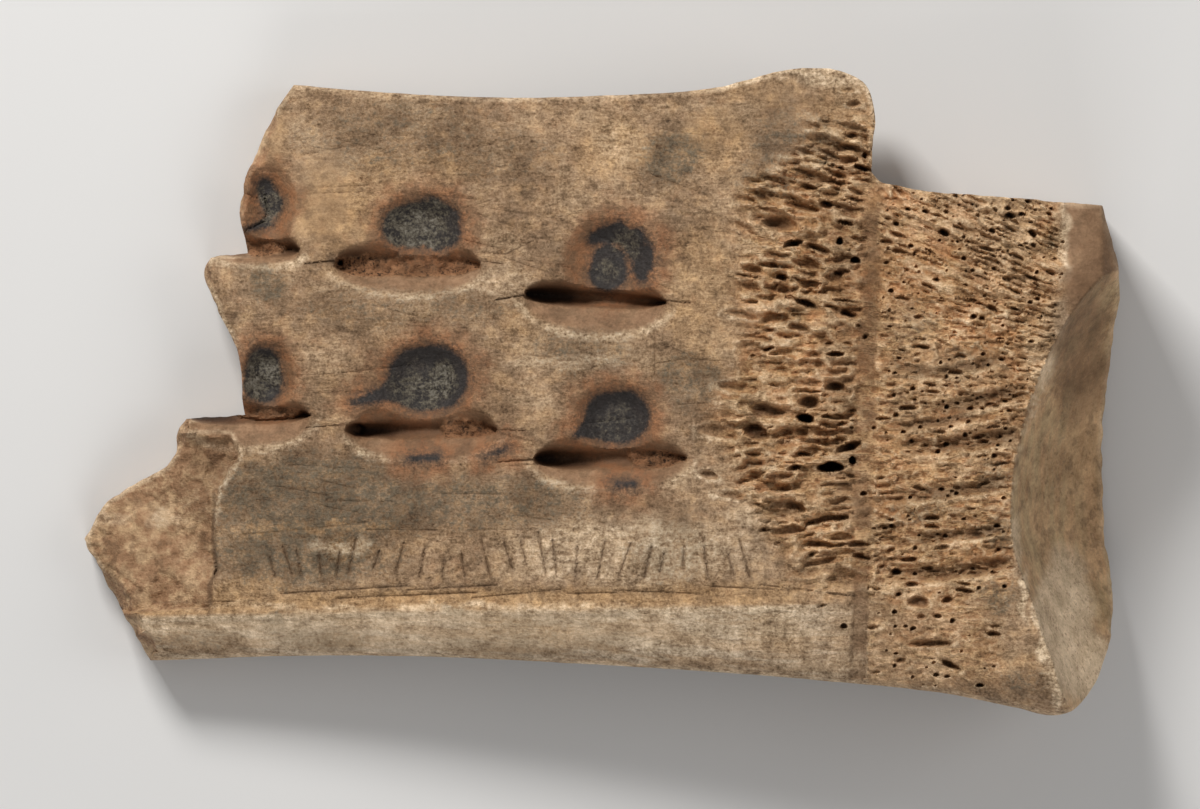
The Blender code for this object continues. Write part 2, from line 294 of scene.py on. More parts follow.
# Fine cracks and stray cuts: (points, half width, depth)
CRACKS = (
    (((-41.5, 1.9), (-33.8, 2.1), (-29.2, 2.6), (-23.5, 3.3)), 0.15, 0.14),
    (((-37.0, 16.0), (-33.3, 16.3)), 0.2, 0.35),
    (((-15.2, 16.3), (-12.3, 15.9)), 0.16, 0.2),
    (((-12.9, 11.4), (-9.2, 12.0)), 0.22, 0.4),
    (((7.9, 11.3), (11.2, 11.0)), 0.2, 0.3),
    (((-36.8, -4.6), (-31.0, -4.2)), 0.18, 0.25),
    (((-12.8, -4.9), (-9.6, -5.0)), 0.18, 0.25),
    (((-12.4, -8.9), (-8.0, -8.6)), 0.22, 0.35),
    # The long crack along the split tip's step is wide and deep so that its dark line also paints the step's
    # shadow.
    (((-48.4, -13.0), (-48.6, -18.0), (-48.1, -22.6), (-49.0, -24.2), (-48.9, -26.6)), 0.36, 0.9),
    (((6.9, 7.9), (6.8, 1.8)), 0.17, 0.16),
    (((6.9, 3.4), (10.9, 4.0), (15.7, 3.7)), 0.16, 0.16),
    (((7.7, 5.9), (10.9, 4.6)), 0.15, 0.14),
    (((-15.3, 17.3), (-11.8, 17.1), (-7.9, 19.0)), 0.17, 0.16),
    (((-16.9, 18.9), (-12.1, 17.7)), 0.15, 0.14),
    (((12.5, 20.2), (18.3, 19.4)), 0.16, 0.15),
    (((13.1, 15.1), (18.3, 14.4)), 0.15, 0.14),
    (((-32.5, -13.8), (-26.1, -13.9)), 0.15, 0.12),
    (((-44.7, -18.0), (-37.0, -17.4), (-29.0, -16.4)), 0.22, 0.14),
    (((-33.2, -7.3), (-33.4, -10.9)), 0.15, 0.12),
    (((-44.9, 24.9), (-43.2, 24.3), (-42.2, 24.6)), 0.16, 0.3),
    (((-42.2, 24.2), (-41.7, 22.6), (-42.4, 21.2), (-44.9, 20.0)), 0.2, 0.5),
    (((-43.2, 1.9), (-42.0, 1.3), (-41.2, 0.6)), 0.2, 0.3),
)

# Dark scrape marks just above the ridge's crest: (start, end)
SCRAPES = (
    ((-40.0, -25.4), (-24.0, -24.4)), ((-33.0, -26.0), (-15.5, -25.2)), ((-16.0, -25.9), (-5.0, -24.8)),
    ((-24.0, -24.9), (-13.0, -24.3)), ((-4.0, -25.3), (3.0, -25.2)), ((2.0, -24.9), (12.0, -25.3)),
    ((-56.0, -26.6), (-46.0, -26.4)), ((14.0, -24.4), (24.0, -24.9)), ((20.0, -24.2), (32.0, -25.6)),
)

# Half width and depth of the scrape marks, of the hatching and of the faint scratches on the blade.
SCRAPE_CUT = (0.2, 0.22)
HATCH_CUT = (0.15, 0.07)
HATCH_COUNT = 7
SCRATCH_CUT = (0.16, 0.12)
SCRATCH_X = (-44.0, 12.0)
SCRATCH_Y = (-19.0, 35.0)
SCRATCH_RUN = (1.5, 5.0)
SCRATCH_COUNT = 70

# The inscription's place holds one row of slanted strokes that never meet.
STROKE_X = (-41.0, 20.5)
STROKE_Y = -21.1
STROKE_ROW_SLOPE = 0.012
STROKE_WANDER = 1.1
STROKE_GAP = (1.5, 3.2)
STROKE_LENGTH = (2.0, 5.6)
STROKE_LOWEST_Y = -23.2
STROKE_HALF_WIDTH = 0.32
STROKE_DEPTH = 0.36

# Stains: (centre, half width, half height, strength)
GREY_STAINS = (
    ((58.0, 2.0), 2.0, 9.0, 0.45), ((57.5, -8.0), 2.0, 8.0, 0.35), ((-34.5, -13.2), 17.5, 6.0, 1.0),
    ((-37.5, -20.4), 13.0, 4.6, 0.95), ((-14.0, -13.6), 14.0, 4.2, 0.8), ((-46.0, -13.0), 3.0, 5.0, 0.9),
    ((8.6, -20.0), 6.0, 4.6, 0.7), ((8.8, 29.3), 4.8, 3.8, 0.9), ((25.0, 31.0), 7.0, 5.0, 0.6),
    ((21.0, 26.5), 5.0, 3.0, 0.6), ((-41.2, 13.2), 3.2, 2.6, 0.9), ((-24.0, 10.3), 15.0, 3.4, 0.5),
    ((-2.0, 5.2), 7.5, 3.4, 0.55), ((11.0, 1.4), 5.2, 4.6, 0.7), ((-26.0, 32.0), 14.0, 5.0, 0.45),
    ((-12.0, 30.0), 8.0, 4.0, 0.35), ((-34.5, -30.5), 8.0, 2.0, 0.6), ((-50.0, -31.0), 6.0, 1.6, 0.5),
    ((-8.0, -31.5), 14.0, 2.0, 0.4), ((46.0, 4.0), 3.0, 3.5, 0.5), ((39.5, 9.5), 2.5, 2.5, 0.5),
    ((48.9, -10.6), 2.8, 2.3, 0.75), ((48.9, -17.4), 2.8, 2.1, 0.85), ((40.0, -14.6), 4.0, 2.2, 0.6),
    ((49.3, -25.6), 3.0, 2.8, 0.8), ((36.5, -15.6), 3.4, 0.8, 0.6), ((-55.0, -15.6), 2.2, 1.6, 0.7),
    ((1.4, 2.7), 2.6, 1.0, 0.9), ((20.0, -8.0), 3.0, 2.0, 0.4), ((53.0, -36.0), 3.5, 1.8, 0.5),
    ((15.5, -28.0), 6.0, 0.9, 0.7), ((-6.0, -29.0), 9.0, 0.7, 0.6), ((-40.8, -28.7), 1.2, 1.1, 1.0),
    ((-18.5, -27.6), 1.8, 0.8, 1.0), ((22.5, 16.0), 2.0, 1.6, 0.6), ((23.5, 9.5), 2.6, 1.6, 0.6),
    ((22.0, 5.6), 2.4, 1.2, 0.5), ((-24.0, -8.4), 3.0, 0.9, 0.6), ((56.5, 18.5), 1.6, 1.2, 0.7),
)
# Pale stains. The two strong ones on the socket cup's lower side are painted light, the thin one along the
# ridge's crest is a painted highlight, and the long one on the rear border band is partly stain and partly
# painted light.
PALE_STAINS_AND_LIGHT = (
    ((4.0, -20.0), 17.0, 4.5, 0.5), ((-14.0, -30.4), 46.0, 2.6, 0.45), ((34.0, -34.0), 12.0, 2.5, 0.3),
    ((2.6, 31.2), 4.0, 3.0, 0.25), ((56.3, 9.2), 1.8, 3.6, 0.95), ((54.2, 3.8), 2.2, 3.6, 0.95),
    ((51.5, 16.5), 5.5, 6.0, 0.6), ((57.7, 19.0), 0.6, 4.5, 0.9), ((45.0, 22.3), 11.0, 2.2, 0.5),
    ((51.6, -18.6), 0.7, 3.4, 0.9), ((52.8, -25.4), 0.8, 3.6, 1.2), ((54.8, -30.6), 0.8, 3.6, 1.2),
    ((57.2, -36.4), 0.9, 3.6, 1.0), ((58.5, -29.0), 3.8, 9.0, 2.2), ((60.5, -34.0), 3.2, 5.0, 2.2),
    ((21.0, -15.5), 5.0, 2.4, 0.55), ((36.0, -24.6), 4.0, 1.2, 0.8), ((-54.6, -16.1), 2.2, 1.3, 0.5),
    ((-32.5, -19.9), 4.4, 1.0, 0.6), ((28.0, 39.2), 6.0, 1.2, 0.7), ((46.0, -9.6), 5.0, 1.0, 0.6),
    ((46.0, -4.6), 5.0, 0.8, 0.5), ((-12.5, 13.8), 4.0, 2.6, 0.3), ((-62.0, -16.0), 3.0, 1.2, 0.5),
    ((40.0, -28.5), 5.0, 1.6, 0.4), ((47.0, 2.0), 4.0, 3.0, 0.35), ((40.0, 20.0), 4.0, 2.5, 0.35),
    ((-4.0, 3.4), 8.0, 1.2, 0.35), ((24.0, -1.0), 4.0, 3.0, 0.3), ((-20.0, -27.4), 30.0, 0.6, 0.6),
)
WARM_STAINS = (
    ((-33.0, 22.5), 6.0, 5.5, 0.7), ((2.0, 30.5), 5.0, 4.0, 0.7), ((14.5, 31.0), 5.0, 4.5, 0.6),
    ((31.0, 35.5), 3.5, 3.5, 0.5), ((-8.0, -29.8), 8.0, 1.8, 0.5), ((22.0, -30.2), 5.0, 2.4, 0.6),
    ((-36.0, -17.3), 12.0, 0.9, 0.9), ((-31.5, -20.0), 3.2, 1.6, 0.9), ((-43.0, -24.6), 6.0, 1.6, 0.8),
    ((50.0, -34.0), 6.0, 2.0, 0.35), ((61.5, -8.0), 3.0, 14.0, 0.8), ((-41.5, 30.0), 2.5, 6.0, 0.5),
    ((37.6, 4.0), 3.0, 4.0, 0.5), ((38.0, -6.5), 3.0, 3.5, 0.5), ((-59.0, -16.0), 4.0, 4.0, 0.4),
    ((12.5, 12.0), 5.0, 10.0, 0.6), ((-9.5, 8.5), 3.0, 2.0, 0.4), ((24.0, 12.0), 5.0, 5.0, 0.3),
    ((18.0, 38.0), 6.0, 2.5, 0.4), ((-20.0, 28.0), 5.0, 2.5, 0.4), ((-28.0, 27.0), 5.0, 3.0, 0.5),
)

# Brown patches, some of them painted shade as on the socket cup's upper side and under the split tip's
# shoulder, and places where the surface is smooth: (centre, half width, half height, strength)
SHADED = (
    ((60.0, 6.0), 4.5, 10.0, 0.85), ((61.5, 18.0), 3.0, 6.0, 0.5), ((31.0, 2.0), 3.0, 24.0, 0.3),
    ((-49.0, -8.0), 3.6, 3.2, 0.6), ((-51.0, -12.0), 2.4, 2.0, 0.35), ((-27.0, 12.2), 3.0, 1.2, 0.25),
    ((-35.0, 20.0), 2.0, 1.6, 0.3), ((-11.0, 22.6), 4.0, 1.2, 0.3), ((-12.0, -2.5), 2.2, 3.0, 0.35),
    ((11.6, -3.0), 2.2, 3.5, 0.3), ((-5.4, -5.2), 2.4, 2.4, 0.35), ((-31.5, 1.0), 2.4, 3.0, 0.3),
    ((-6.0, 15.0), 2.0, 3.0, 0.3), ((33.0, 10.0), 1.6, 14.0, 0.25), ((24.5, 30.3), 5.0, 0.6, 0.45),
)
SMOOTH = (
    ((-35.0, 24.0), 4.5, 7.0, 0.9), ((-30.5, 19.0), 3.5, 3.0, 0.6), ((14.5, 33.0), 5.0, 3.0, 0.4),
    ((-41.0, 30.0), 2.6, 6.0, 0.6), ((-20.0, -30.0), 40.0, 3.0, 0.55), ((24.0, 36.0), 5.0, 3.0, 0.4),
    ((-58.0, -18.0), 6.0, 6.0, 0.5), ((8.0, -16.0), 6.0, 2.5, 0.4),
)

# A faint grey patch on the underside: (centre, half width, half height, strength)
UNDERSIDE_STAINS = (((-10.0, 5.0), 30.0, 16.0, 0.5),)

# The marks that the surface carries for its material, each a number at every point of the mesh.
MARKS = (
    "scorch", "ash", "soot", "grey", "pale", "warm", "cavity", "line",
    "spongy", "raw", "socket", "scraped", "fill", "shade", "border", "smooth",
)

# The mesh's points: spacing on the plain face, in worked and spongy places and on the underside, how much
# they are scattered as a share of it, the raster that keeps them apart, and how many rows the walls have.
PLAIN_SPACING = 0.52
FINE_SPACING = 0.3
UNDERSIDE_SPACING = 1.8
SCATTER = 0.16
RASTER = 0.09
WALL_ROWS = 8

# Rows of points follow the socket's rim between these values of y, and the crest between these of x.
SOCKET_RIM_Y = (-41.0, 15.0)
CREST_X = (-57.0, 30.0)

# Faces that meet at more degrees than this stay sharp.
SHARP_ANGLE = 62.0

# The bake map is a square: its margin, the scale and corner of the underside, and the strip of the walls.
MAP_MARGIN = 0.01
MAP_SPAN = 0.98
MAP_UNDERSIDE_SCALE = 0.38
MAP_UNDERSIDE_CORNER = (0.01, 0.755)
MAP_WALL_START = 0.65
MAP_WALL_HEIGHT = 0.09

# A distance in millimetres that counts as far from any char, and a width well beyond the saw cut's band.
FAR = 9.0

# The view from above: its width on the face, its middle, and the camera's lens. VIEW_END is in metres.
VIEW_WIDTH = 150.0
VIEW_MIDDLE = (0.0, -1.7)
LENS = 400.0
SENSOR = 36.0
VIEW_END = 20.0

# Lights and floor, in metres: (name, azimuth and elevation in degrees, distance, size, watts, colour)
LIGHTS = (
    ("key", -28.0, 38.0, 0.7, 0.2, 4.5, (1.0, 0.98, 0.95)),
    ("front_fill", 178.0, 32.0, 0.8, 0.4, 1.6, (1.0, 0.98, 0.96)),
    ("side_fill", 85.0, 38.0, 0.8, 0.5, 1.1, (1.0, 0.98, 0.96)),
)
WORLD_COLOUR = (1.0, 0.99, 0.97, 1.0)
WORLD_STRENGTH = 0.2
FLOOR_HALF_WIDTH = 3.0


# ---------------------------------------------------------------- numbers


def smooth_step(start, end, value):
    """0 before start, 1 after end, and an S curve between them."""
    t = np.clip((value - start) / (end - start), 0.0, 1.0)
    return t * t * (3.0 - 2.0 * t)


def value_noise(x, y, size, seed):
    """Smooth noise from -1 to 1, in features about size across."""
    table = np.random.default_rng(seed).uniform(-1.0, 1.0, (256, 256))
    column, row = np.floor(x / size).astype(int), np.floor(y / size).astype(int)
    u, v = x / size - column, y / size - row
    u, v = u * u * (3.0 - 2.0 * u), v * v * (3.0 - 2.0 * v)
    left, right, low, high = column & 255, (column + 1) & 255, row & 255, (row + 1) & 255
    below = table[left, low] * (1.0 - u) + table[right, low] * u
    above = table[left, high] * (1.0 - u) + table[right, high] * u
    return below * (1.0 - v) + above * v


def fractal(x, y, size, seed, octaves=3):
    """Noise from about -1 to 1 with finer noise added to it."""
    total = sum(value_noise(x, y, size / 2**n, seed + n) / 2**n for n in range(octaves))
    return total / (2.0 - 0.5 ** (octaves - 1))


def blobs(x, y, table, seed):
    """How far each point lies in soft ragged spots: (centre, half width, half height, strength)."""
    ragged_x = x + 1.6 * fractal(x, y, 3.0, seed)
    ragged_y = y + 1.2 * fractal(x, y, 3.0, seed + 9)
    total = np.zeros_like(x)
    for (centre_x, centre_y), half_width, half_height, strength in table:
        apart = np.hypot((ragged_x - centre_x) / half_width, (ragged_y - centre_y) / half_height)
        total = np.maximum(total, strength * smooth_step(1.25, 0.55, apart))
    return total


def turned(x, y, angle):
    """A place turned about the origin by an angle in degrees."""
    cosine, sine = cos(radians(angle)), sin(radians(angle))
    return x * cosine - y * sine, x * sine + y * cosine


def segment_distance(x, y, start, end):
    """Distance from each point to a line, and how far along the line it is, from 0 to 1."""
    run_x, run_y = end[0] - start[0], end[1] - start[1]
    along = np.clip(((x - start[0]) * run_x + (y - start[1]) * run_y) / (run_x**2 + run_y**2), 0.0, 1.0)
    return np.hypot(x - start[0] - along * run_x, y - start[1] - along * run_y), along


# ---------------------------------------------------------------- outline


def smooth_outline():
    """Close points along the outline's curve, and the stretch that each belongs to."""
    knots = [point for stretch, *_ in EDGES for point in stretch]
    kinds = [kind for kind, (stretch, *_) in enumerate(EDGES) for _ in stretch]
    curve = bpy.data.curves.new("outline", "CURVE")
    curve.dimensions = "2D"
    spline = curve.splines.new("BEZIER")
    spline.use_cyclic_u = True
    spline.bezier_points.add(len(knots) - 1)
    for knot, (x, y, is_smooth) in zip(spline.bezier_points, knots):
        knot.co = (x, y, 0.0)
        knot.handle_left_type = knot.handle_right_type = "AUTO" if is_smooth else "VECTOR"
    places, stretches = [], []
    for number, knot in enumerate(spline.bezier_points):
        after = spline.bezier_points[(number + 1) % len(knots)]
        steps = max(2, round((after.co - knot.co).length / OUTLINE_STEP))
        run = interpolate_bezier(knot.co, knot.handle_right, after.handle_left, after.co, steps + 1)
        places += [(point.x, point.y) for point in run[:-1]]
        stretches += [kinds[number]] * steps
    bpy.data.curves.remove(curve)
    return np.array(places), stretches


class Outline:
    """The outline as a closed row of points, each with its inward normal and its kind of edge."""

    def __init__(self):
        """Lays out the points, ragged where the bone is broken, and a tree that finds the nearest."""
        smooth, stretches = smooth_outline()
        blurred = sum(np.roll(smooth, shift, axis=0) for shift in (-2, -1, 0, 1, 2)) / 5.0
        along = np.roll(blurred, -1, axis=0) - np.roll(blurred, 1, axis=0)
        self.inward = np.stack([-along[:, 1], along[:, 0]], axis=1)
        self.inward /= np.linalg.norm(self.inward, axis=1)[:, None]
        steps = np.hypot(*(np.roll(smooth, -1, axis=0) - smooth).T)
        self.along = np.concatenate([[0.0], np.cumsum(steps)[:-1]])
        self.length = steps.sum()
        kinds = np.array([EDGES[kind][1:] for kind in stretches])
        self.upper_radius, self.lower_radius, ragged, self.broken = (self.blend(column) for column in kinds.T)
        chips = fractal(self.along, 0.0 * self.along, 1.7, 31, 3)
        self.points = smooth + self.inward * (ragged * (chips + 0.2))[:, None]
        self.bevel = np.zeros(len(self.points))
        for x, y, reach, width in BEVELS:
            apart = np.hypot(self.points[:, 0] - x, self.points[:, 1] - y)
            self.bevel = np.maximum(self.bevel, width * smooth_step(reach, 0.3 * reach, apart))
        self.bevel *= 0.85 + 0.5 * fractal(self.along, 0.0 * self.along, 2.6, 35)
        self.tree = kdtree.KDTree(len(self.points))
        for number, (x, y) in enumerate(self.points):
            self.tree.insert((x, y, 0.0), number)
        self.tree.balance()

    @staticmethod
    def blend(values):
        """Values along the outline with their steps smoothed over."""
        return sum(np.roll(values, shift) for shift in range(-3, 4)) / 7.0

    def nearest(self, x, y):
        """The number of the outline point nearest to each point."""
        return np.array([self.tree.find((a, b, 0.0))[1] for a, b in zip(x.tolist(), y.tolist())], dtype=int)

    def depth(self, x, y):
        """Distance inside the outline (negative outside), and the nearest outline point's number."""
        near = self.nearest(x, y)
        best = np.full(len(x), np.inf)
        for shift in (-1, 0):
            start = self.points[(near + shift) % len(self.points)]
            end = self.points[(near + shift + 1) % len(self.points)]
            distance, _ = segment_distance(x, y, start.T, end.T)
            best = np.minimum(best, distance)
        side = ((np.stack([x, y], axis=1) - self.points[near]) * self.inward[near]).sum(axis=1)
        return np.where(side >= 0.0, best, -best), near

    def deep(self, points, least):
        """Those of the points that lie deeper inside the outline than least."""
        depth, _ = self.depth(*points.T)
        return points[depth > least]


# ---------------------------------------------------------------- the worked face


def face_plane(x, y):
    """Height of the scraped plane."""
    return FACE_LEVEL + FACE_RISE_X * x + FACE_RISE_Y * y


def ridge_y(x):
    """Where the rear border starts to round off."""
    return RIDGE_Y + RIDGE_RISE * (x + 50.0) - RIDGE_RUN_OUT_DROP * smooth_step(*RIDGE_RUN_OUT, x)


def worked_face(x, y):
    """Height of the upper surface before the hollows and the socket."""
    edge_y = REAR_EDGE_Y + REAR_EDGE_SLOPE * x + REAR_EDGE_BEND * x**2
    border = np.clip((ridge_y(x) - y) / (ridge_y(x) - edge_y), 0.0, 1.0)
    rounding = BORDER_CHAMFER * border + BORDER_ROUND * (1.0 - np.sqrt(1.0 - border**2))
    corner = np.maximum(x - CORNER_X + CORNER_LEAN * (y - CORNER_LEAN_Y), 0.0) * smooth_step(*CORNER_Y, y)
    trough = TROUGH_DEPTH * smooth_step(TROUGH_START_X, SAW_LINE_X, x)
    trough = trough * smooth_step(TROUGH_END_X, SAW_LINE_X, x)
    side = x - SIDE_FACET_X - SIDE_FACET_LEAN * np.maximum(SIDE_FACET_LEAN_Y - y, 0.0)
    side = np.maximum(side, 0.0) * smooth_step(*SIDE_FACET_Y, y)
    return face_plane(x, y) - trough - rounding - CORNER_FALL * corner - SIDE_FACET_FALL * side


def crest(x, y):
    """Relief of the ridge's worn crest, with the scraped hollow above it, and the distance above it."""
    above = y - ridge_y(x) + CREST_DROP_Y + 0.25 * fractal(x, 0.0 * x, 9.0, 37)
    rise, dip = (
        height * np.exp(-(((above - middle) / width) ** 2))
        for height, middle, width in (CREST_RISE, CREST_DIP)
    )
    return (rise - dip) * smooth_step(*CREST_FADE_X, x), above


def thickness(x, y):
    """Thickness of the bone, from a thin blade to the socket's half-round section."""
    blade = BLADE_THICKNESS + REAR_BORDER_THICKER * smooth_step(*REAR_BORDER_Y, y)
    blade = blade - FRONT_BORDER_THINNER * smooth_step(*FRONT_BORDER_Y, y)
    half_width = np.where(y > SOCKET_MIDDLE_Y, SOCKET_FRONT_HALF_WIDTH, SOCKET_REAR_HALF_WIDTH)
    across = np.minimum(np.abs(y - SOCKET_MIDDLE_Y) / half_width, 1.0)
    socket = SOCKET_THICKNESS * (1.0 - across**SOCKET_ROUNDNESS) ** (1.0 / SOCKET_ROUNDNESS)
    return blade + (np.maximum(socket, blade) - blade) * smooth_step(*NECK_X, x)


def socket_shift(y):
    """How far the socket's rim is bent towards +X near the rear border."""
    front, rear = SOCKET_WORN_Y
    return SOCKET_WORN_X * smooth_step(*front, y) * smooth_step(*rear, y)


def socket_height(x, y):
    """Height of the joint socket's bent sphere, or infinity beside it."""
    x = x - socket_shift(y)
    inside = SOCKET_RADIUS**2 - (x - SOCKET_CENTRE[0]) ** 2 - (y - SOCKET_CENTRE[1]) ** 2
    return np.where(inside > 0.0, SOCKET_CENTRE[2] - np.sqrt(np.maximum(inside, 0.0)), np.inf)


def socket_rim_x(y):
    """Where the socket's rim crosses the worked face."""
    x = np.full_like(y, 52.0)
    for _ in range(8):
        rise = SOCKET_CENTRE[2] - worked_face(x, y)
        x = SOCKET_CENTRE[0] - np.sqrt(SOCKET_RADIUS**2 - rise**2 - (y - SOCKET_CENTRE[1]) ** 2)
        x = x + socket_shift(y)
    return x


def trench_places(trench, x, y):
    """Each point's distance along a trench and across it."""
    (centre_x, centre_y), _, angle, *_ = trench
    return turned(x - centre_x, y - centre_y, -angle)


def trench_edges(trench, along):
    """Half width of a trench, and the reach of the slopes below and above it, at places along it."""
    _, half_length, _, half_width, _, below, above, _ = trench
    share = np.minimum(np.abs(along) / half_length, 1.0)
    wide_share = np.minimum(np.abs(along) / (half_length + 1.4), 1.0)
    width = half_width * (1.0 - share ** np.where(along < 0.0, 5.0, 2.8)) ** 0.6
    return width, below * (1.0 - wide_share**2.3) ** 0.65, above * (1.0 - share**4) ** 0.6


def trench_depth(trench, x, y):
    """Depth of a trench between its two banks, how dark its painted shade is, and how much painted shade lies
    on its upper bank.
    """
    _, half_length, _, _, depth, _, _, fade = trench
    along, across = trench_places(trench, x, y)
    across = across + 0.15 * fractal(x, y, 2.0, 54)
    width, below, above = trench_edges(trench, along)
    end = along / half_length
    share = np.clip(np.abs(across) / (1.25 * width + 1e-6), 0.0, 1.0)
    falling = fade * smooth_step(-1.0, 0.1, end)
    core = np.where(width > 0.02, depth * (1.0 - 0.7 * falling) * (1.0 - share**2.2), 0.0)
    lower = SLOPE_DEPTH * np.clip((across + below) / (below + 1e-6), 0.0, 1.0) ** 1.1
    upper = UPPER_SLOPE_DEPTH * np.clip((above - across) / (above + 1e-6), 0.0, 1.0) ** 1.2
    slope = np.where(across < 0.0, lower, upper) * smooth_step(1.06, 0.78, np.abs(end))
    # Painted shade on the trench floor: darkest along its middle, fading softly up the upper side and sharply
    # at the lower one, and lighter to the right.
    shade = np.clip(np.abs(across) / (np.where(across > 0.0, 2.0, 1.1) * width + 1e-6), 0.0, 1.0)
    dark = (1.0 - shade ** np.where(across > 0.0, 1.4, 3.0)) * (0.98 - 0.8 * falling)
    dark = dark * smooth_step(0.0, 0.4, width)
    # Painted shade on the upper bank, strongest next to the trench.
    bank = np.clip((above + 1.2 - across) / (above + 1.2 - 0.7 * width), 0.0, 1.0)
    bank = bank * smooth_step(-0.9, 0.3, across) * smooth_step(1.2, 0.9, np.abs(end))
    return np.maximum(core, slope), dark, bank


def pit_depth(pit, x, y):
    """Depth of a round pit with a soft rim, which runs out into the trench below it."""
    (centre_x, centre_y), half_width, half_height = pit
    reach = half_height * np.where(y < centre_y, PIT_LOWER_REACH, 1.0)
    apart = np.hypot((x - centre_x) / half_width, (y - centre_y) / reach)
    return PIT_DEPTH * smooth_step(1.0, 0.25, apart)


def chain_distance(x, y, discs):
    """Distance outside a chain of discs that are joined by tapering bands."""
    best = np.full(len(x), np.inf)
    for (start_x, start_y, start_radius), (end_x, end_y, end_radius) in zip(discs, discs[1:]):
        distance, along = segment_distance(x, y, (start_x, start_y), (end_x, end_y))
        best = np.minimum(best, distance - start_radius - (end_radius - start_radius) * along)
    return best


def scorch_distance(x, y):
    """Distance outside the nearest char (negative inside), and the ash on it."""
    patches = fractal(x, y, 1.3, 59)
    best = np.full(len(x), FAR)
    for discs, patchy in SCORCHES:
        distance = chain_distance(x, y, discs)
        gaps = patchy * np.maximum(patches + 0.15, 0.0) * smooth_step(0.6, 0.0, distance)
        best = np.minimum(best, distance + gaps)
    ash = np.zeros(len(x))
    for centre_x, centre_y, radius, strength in ASH_SPOTS:
        apart = np.hypot(x - centre_x, y - centre_y) / radius
        apart = apart + 0.3 * fractal(x, y, 2.4, 62)
        ash = np.maximum(ash, strength * smooth_step(1.0, 0.1, apart))
    return best, ash


def polygon_inside(x, y, corners):
    """Distance inside a closed polygon, negative outside it."""
    nearest, is_inside = np.full(len(x), np.inf), np.zeros(len(x), bool)
    for start, end in zip(corners, corners[1:] + corners[:1]):
        distance, _ = segment_distance(x, y, start, end)
        nearest = np.minimum(nearest, distance)
        cross_x = start[0] + (y - start[1]) * (end[0] - start[0]) / (end[1] - start[1] + 1e-9)
        is_inside ^= ((start[1] > y) != (end[1] > y)) & (x < cross_x)
    return np.where(is_inside, nearest, -nearest)


def split_distance(x, y):
    """Distance inside the area whose outer layer has split off, with a ragged edge."""
    ragged_x, ragged_y = x + 0.35 * fractal(x, y, 1.2, 51), y + 0.2 * fractal(x, y, 1.6, 53)
    return polygon_inside(ragged_x, ragged_y, SPLIT_OUTLINE)


def split_height(x, y):
    """Height of the rough surface under the split layer."""
    plane = face_plane(x, y) - SPLIT_STEP + SPLIT_FALL * (x - SPLIT_OUTLINE[1][0])
    lumps = 1.3 * np.abs(fractal(x, y + 0.3 * x, 5.5, 61, 2)) + 0.3 * np.abs(fractal(x, y, 2.2, 64))
    flakes = 0.35 * smooth_step(-0.05, 0.05, fractal(x + y, y - 0.5 * x, 3.4, 66))
    flakes = flakes + 0.1 * fractal(x, y, 0.9, 68)
    return plane + lumps + flakes - SPLIT_LUMPS + SPLIT_SHOULDER * smooth_step(*SPLIT_SHOULDER_Y, y)


def worn_grooves(x, y):
    """Depth of the worn grooves, how far each point lies in one, which paints shade in it, and how near its
    lower lip, which paints a highlight there.
    """
    depth, inside, lip = np.zeros((3, len(x)))
    for start, end, half_width, deepest in GROOVES:
        bend = 0.35 * fractal(x, 0.0 * x, 5.0, 87)
        distance, along = segment_distance(x, y + bend, start, end)
        fade = np.sqrt(np.clip(np.minimum(along * 2.5, (1.0 - along) * 6.0), 0.0, 1.0))
        share = distance / half_width
        line_y = start[1] + (end[1] - start[1]) * along
        depth = np.maximum(depth, deepest * fade * np.maximum(1.0 - share**2, 0.0))
        inside = np.maximum(inside, fade * smooth_step(1.0, 0.4, share))
        lip = np.maximum(lip, fade * smooth_step(0.4, 0.1, np.abs(share - 1.15)) * (y + bend < line_y))
    return depth, inside, lip


def band_middle(y):
    """The middle of the saw cut's band, which wanders a little."""
    return SAW_BAND_X + SAW_BAND_LEAN * y + 0.18 * fractal(y, 0.0 * y, 7.0, 47)


def saw_band(x, y):
    """How far a point lies across the saw cut's band, where 1 is its edge, and 9 beyond its ends."""
    ragged = 1.0 - 0.8 * smooth_step(-21.0, -24.0, y)
    across = np.abs(x - band_middle(y) + 0.55 * ragged * fractal(x, y, 1.6, 46))
    across = across / (SAW_BAND_HALF_WIDTH + 0.25 * ragged)
    return np.where((y > SAW_BAND_Y[0]) & (y < SAW_BAND_Y[1]), across, FAR)


def stroke_lines():
    """The inscription's strokes: one row of slanted cuts whose lean changes slowly, as (start, end)."""
    rng = np.random.default_rng(12)
    lines = []
    x = STROKE_X[0]
    while x < STROKE_X[1]:
        half = 0.5 * rng.uniform(*STROKE_LENGTH)
        lean = 0.32 * sin(0.21 * x + 0.8) + rng.uniform(-0.05, 0.05)
        y = STROKE_Y + STROKE_ROW_SLOPE * x + rng.uniform(-STROKE_WANDER, STROKE_WANDER)
        low = max(y - half, STROKE_LOWEST_Y)
        lines.append(((x + (low - y) * lean, low), (x + half * lean, y + half)))
        x += rng.uniform(*STROKE_GAP)
    return lines


def scratch_lines():
    """Faint scratches that run along the blade, as (start, end)."""
    rng = np.random.default_rng(21)
    lines = []
    for x, y in zip(rng.uniform(*SCRATCH_X, SCRATCH_COUNT), rng.uniform(*SCRATCH_Y, SCRATCH_COUNT)):
        run = rng.uniform(*SCRATCH_RUN)
        lean = rng.normal(-0.05, 0.22)
        lines.append(((x - run, y - run * lean), (x + run, y + run * lean)))
    return lines


def hatch_lines():
    """Short parallel scratches on both sides of the saw line, near the rear border."""
    lines = []
    for number in range(HATCH_COUNT):
        x, y = 26.0 + 0.75 * number, -28.4 - 0.3 * number
        lines.append(((x, y), (x + 2.8, y - 1.5)))
        lines.append(((x + 8.5, y + 1.3), (x + 11.5, y + 0.1)))
    return lines


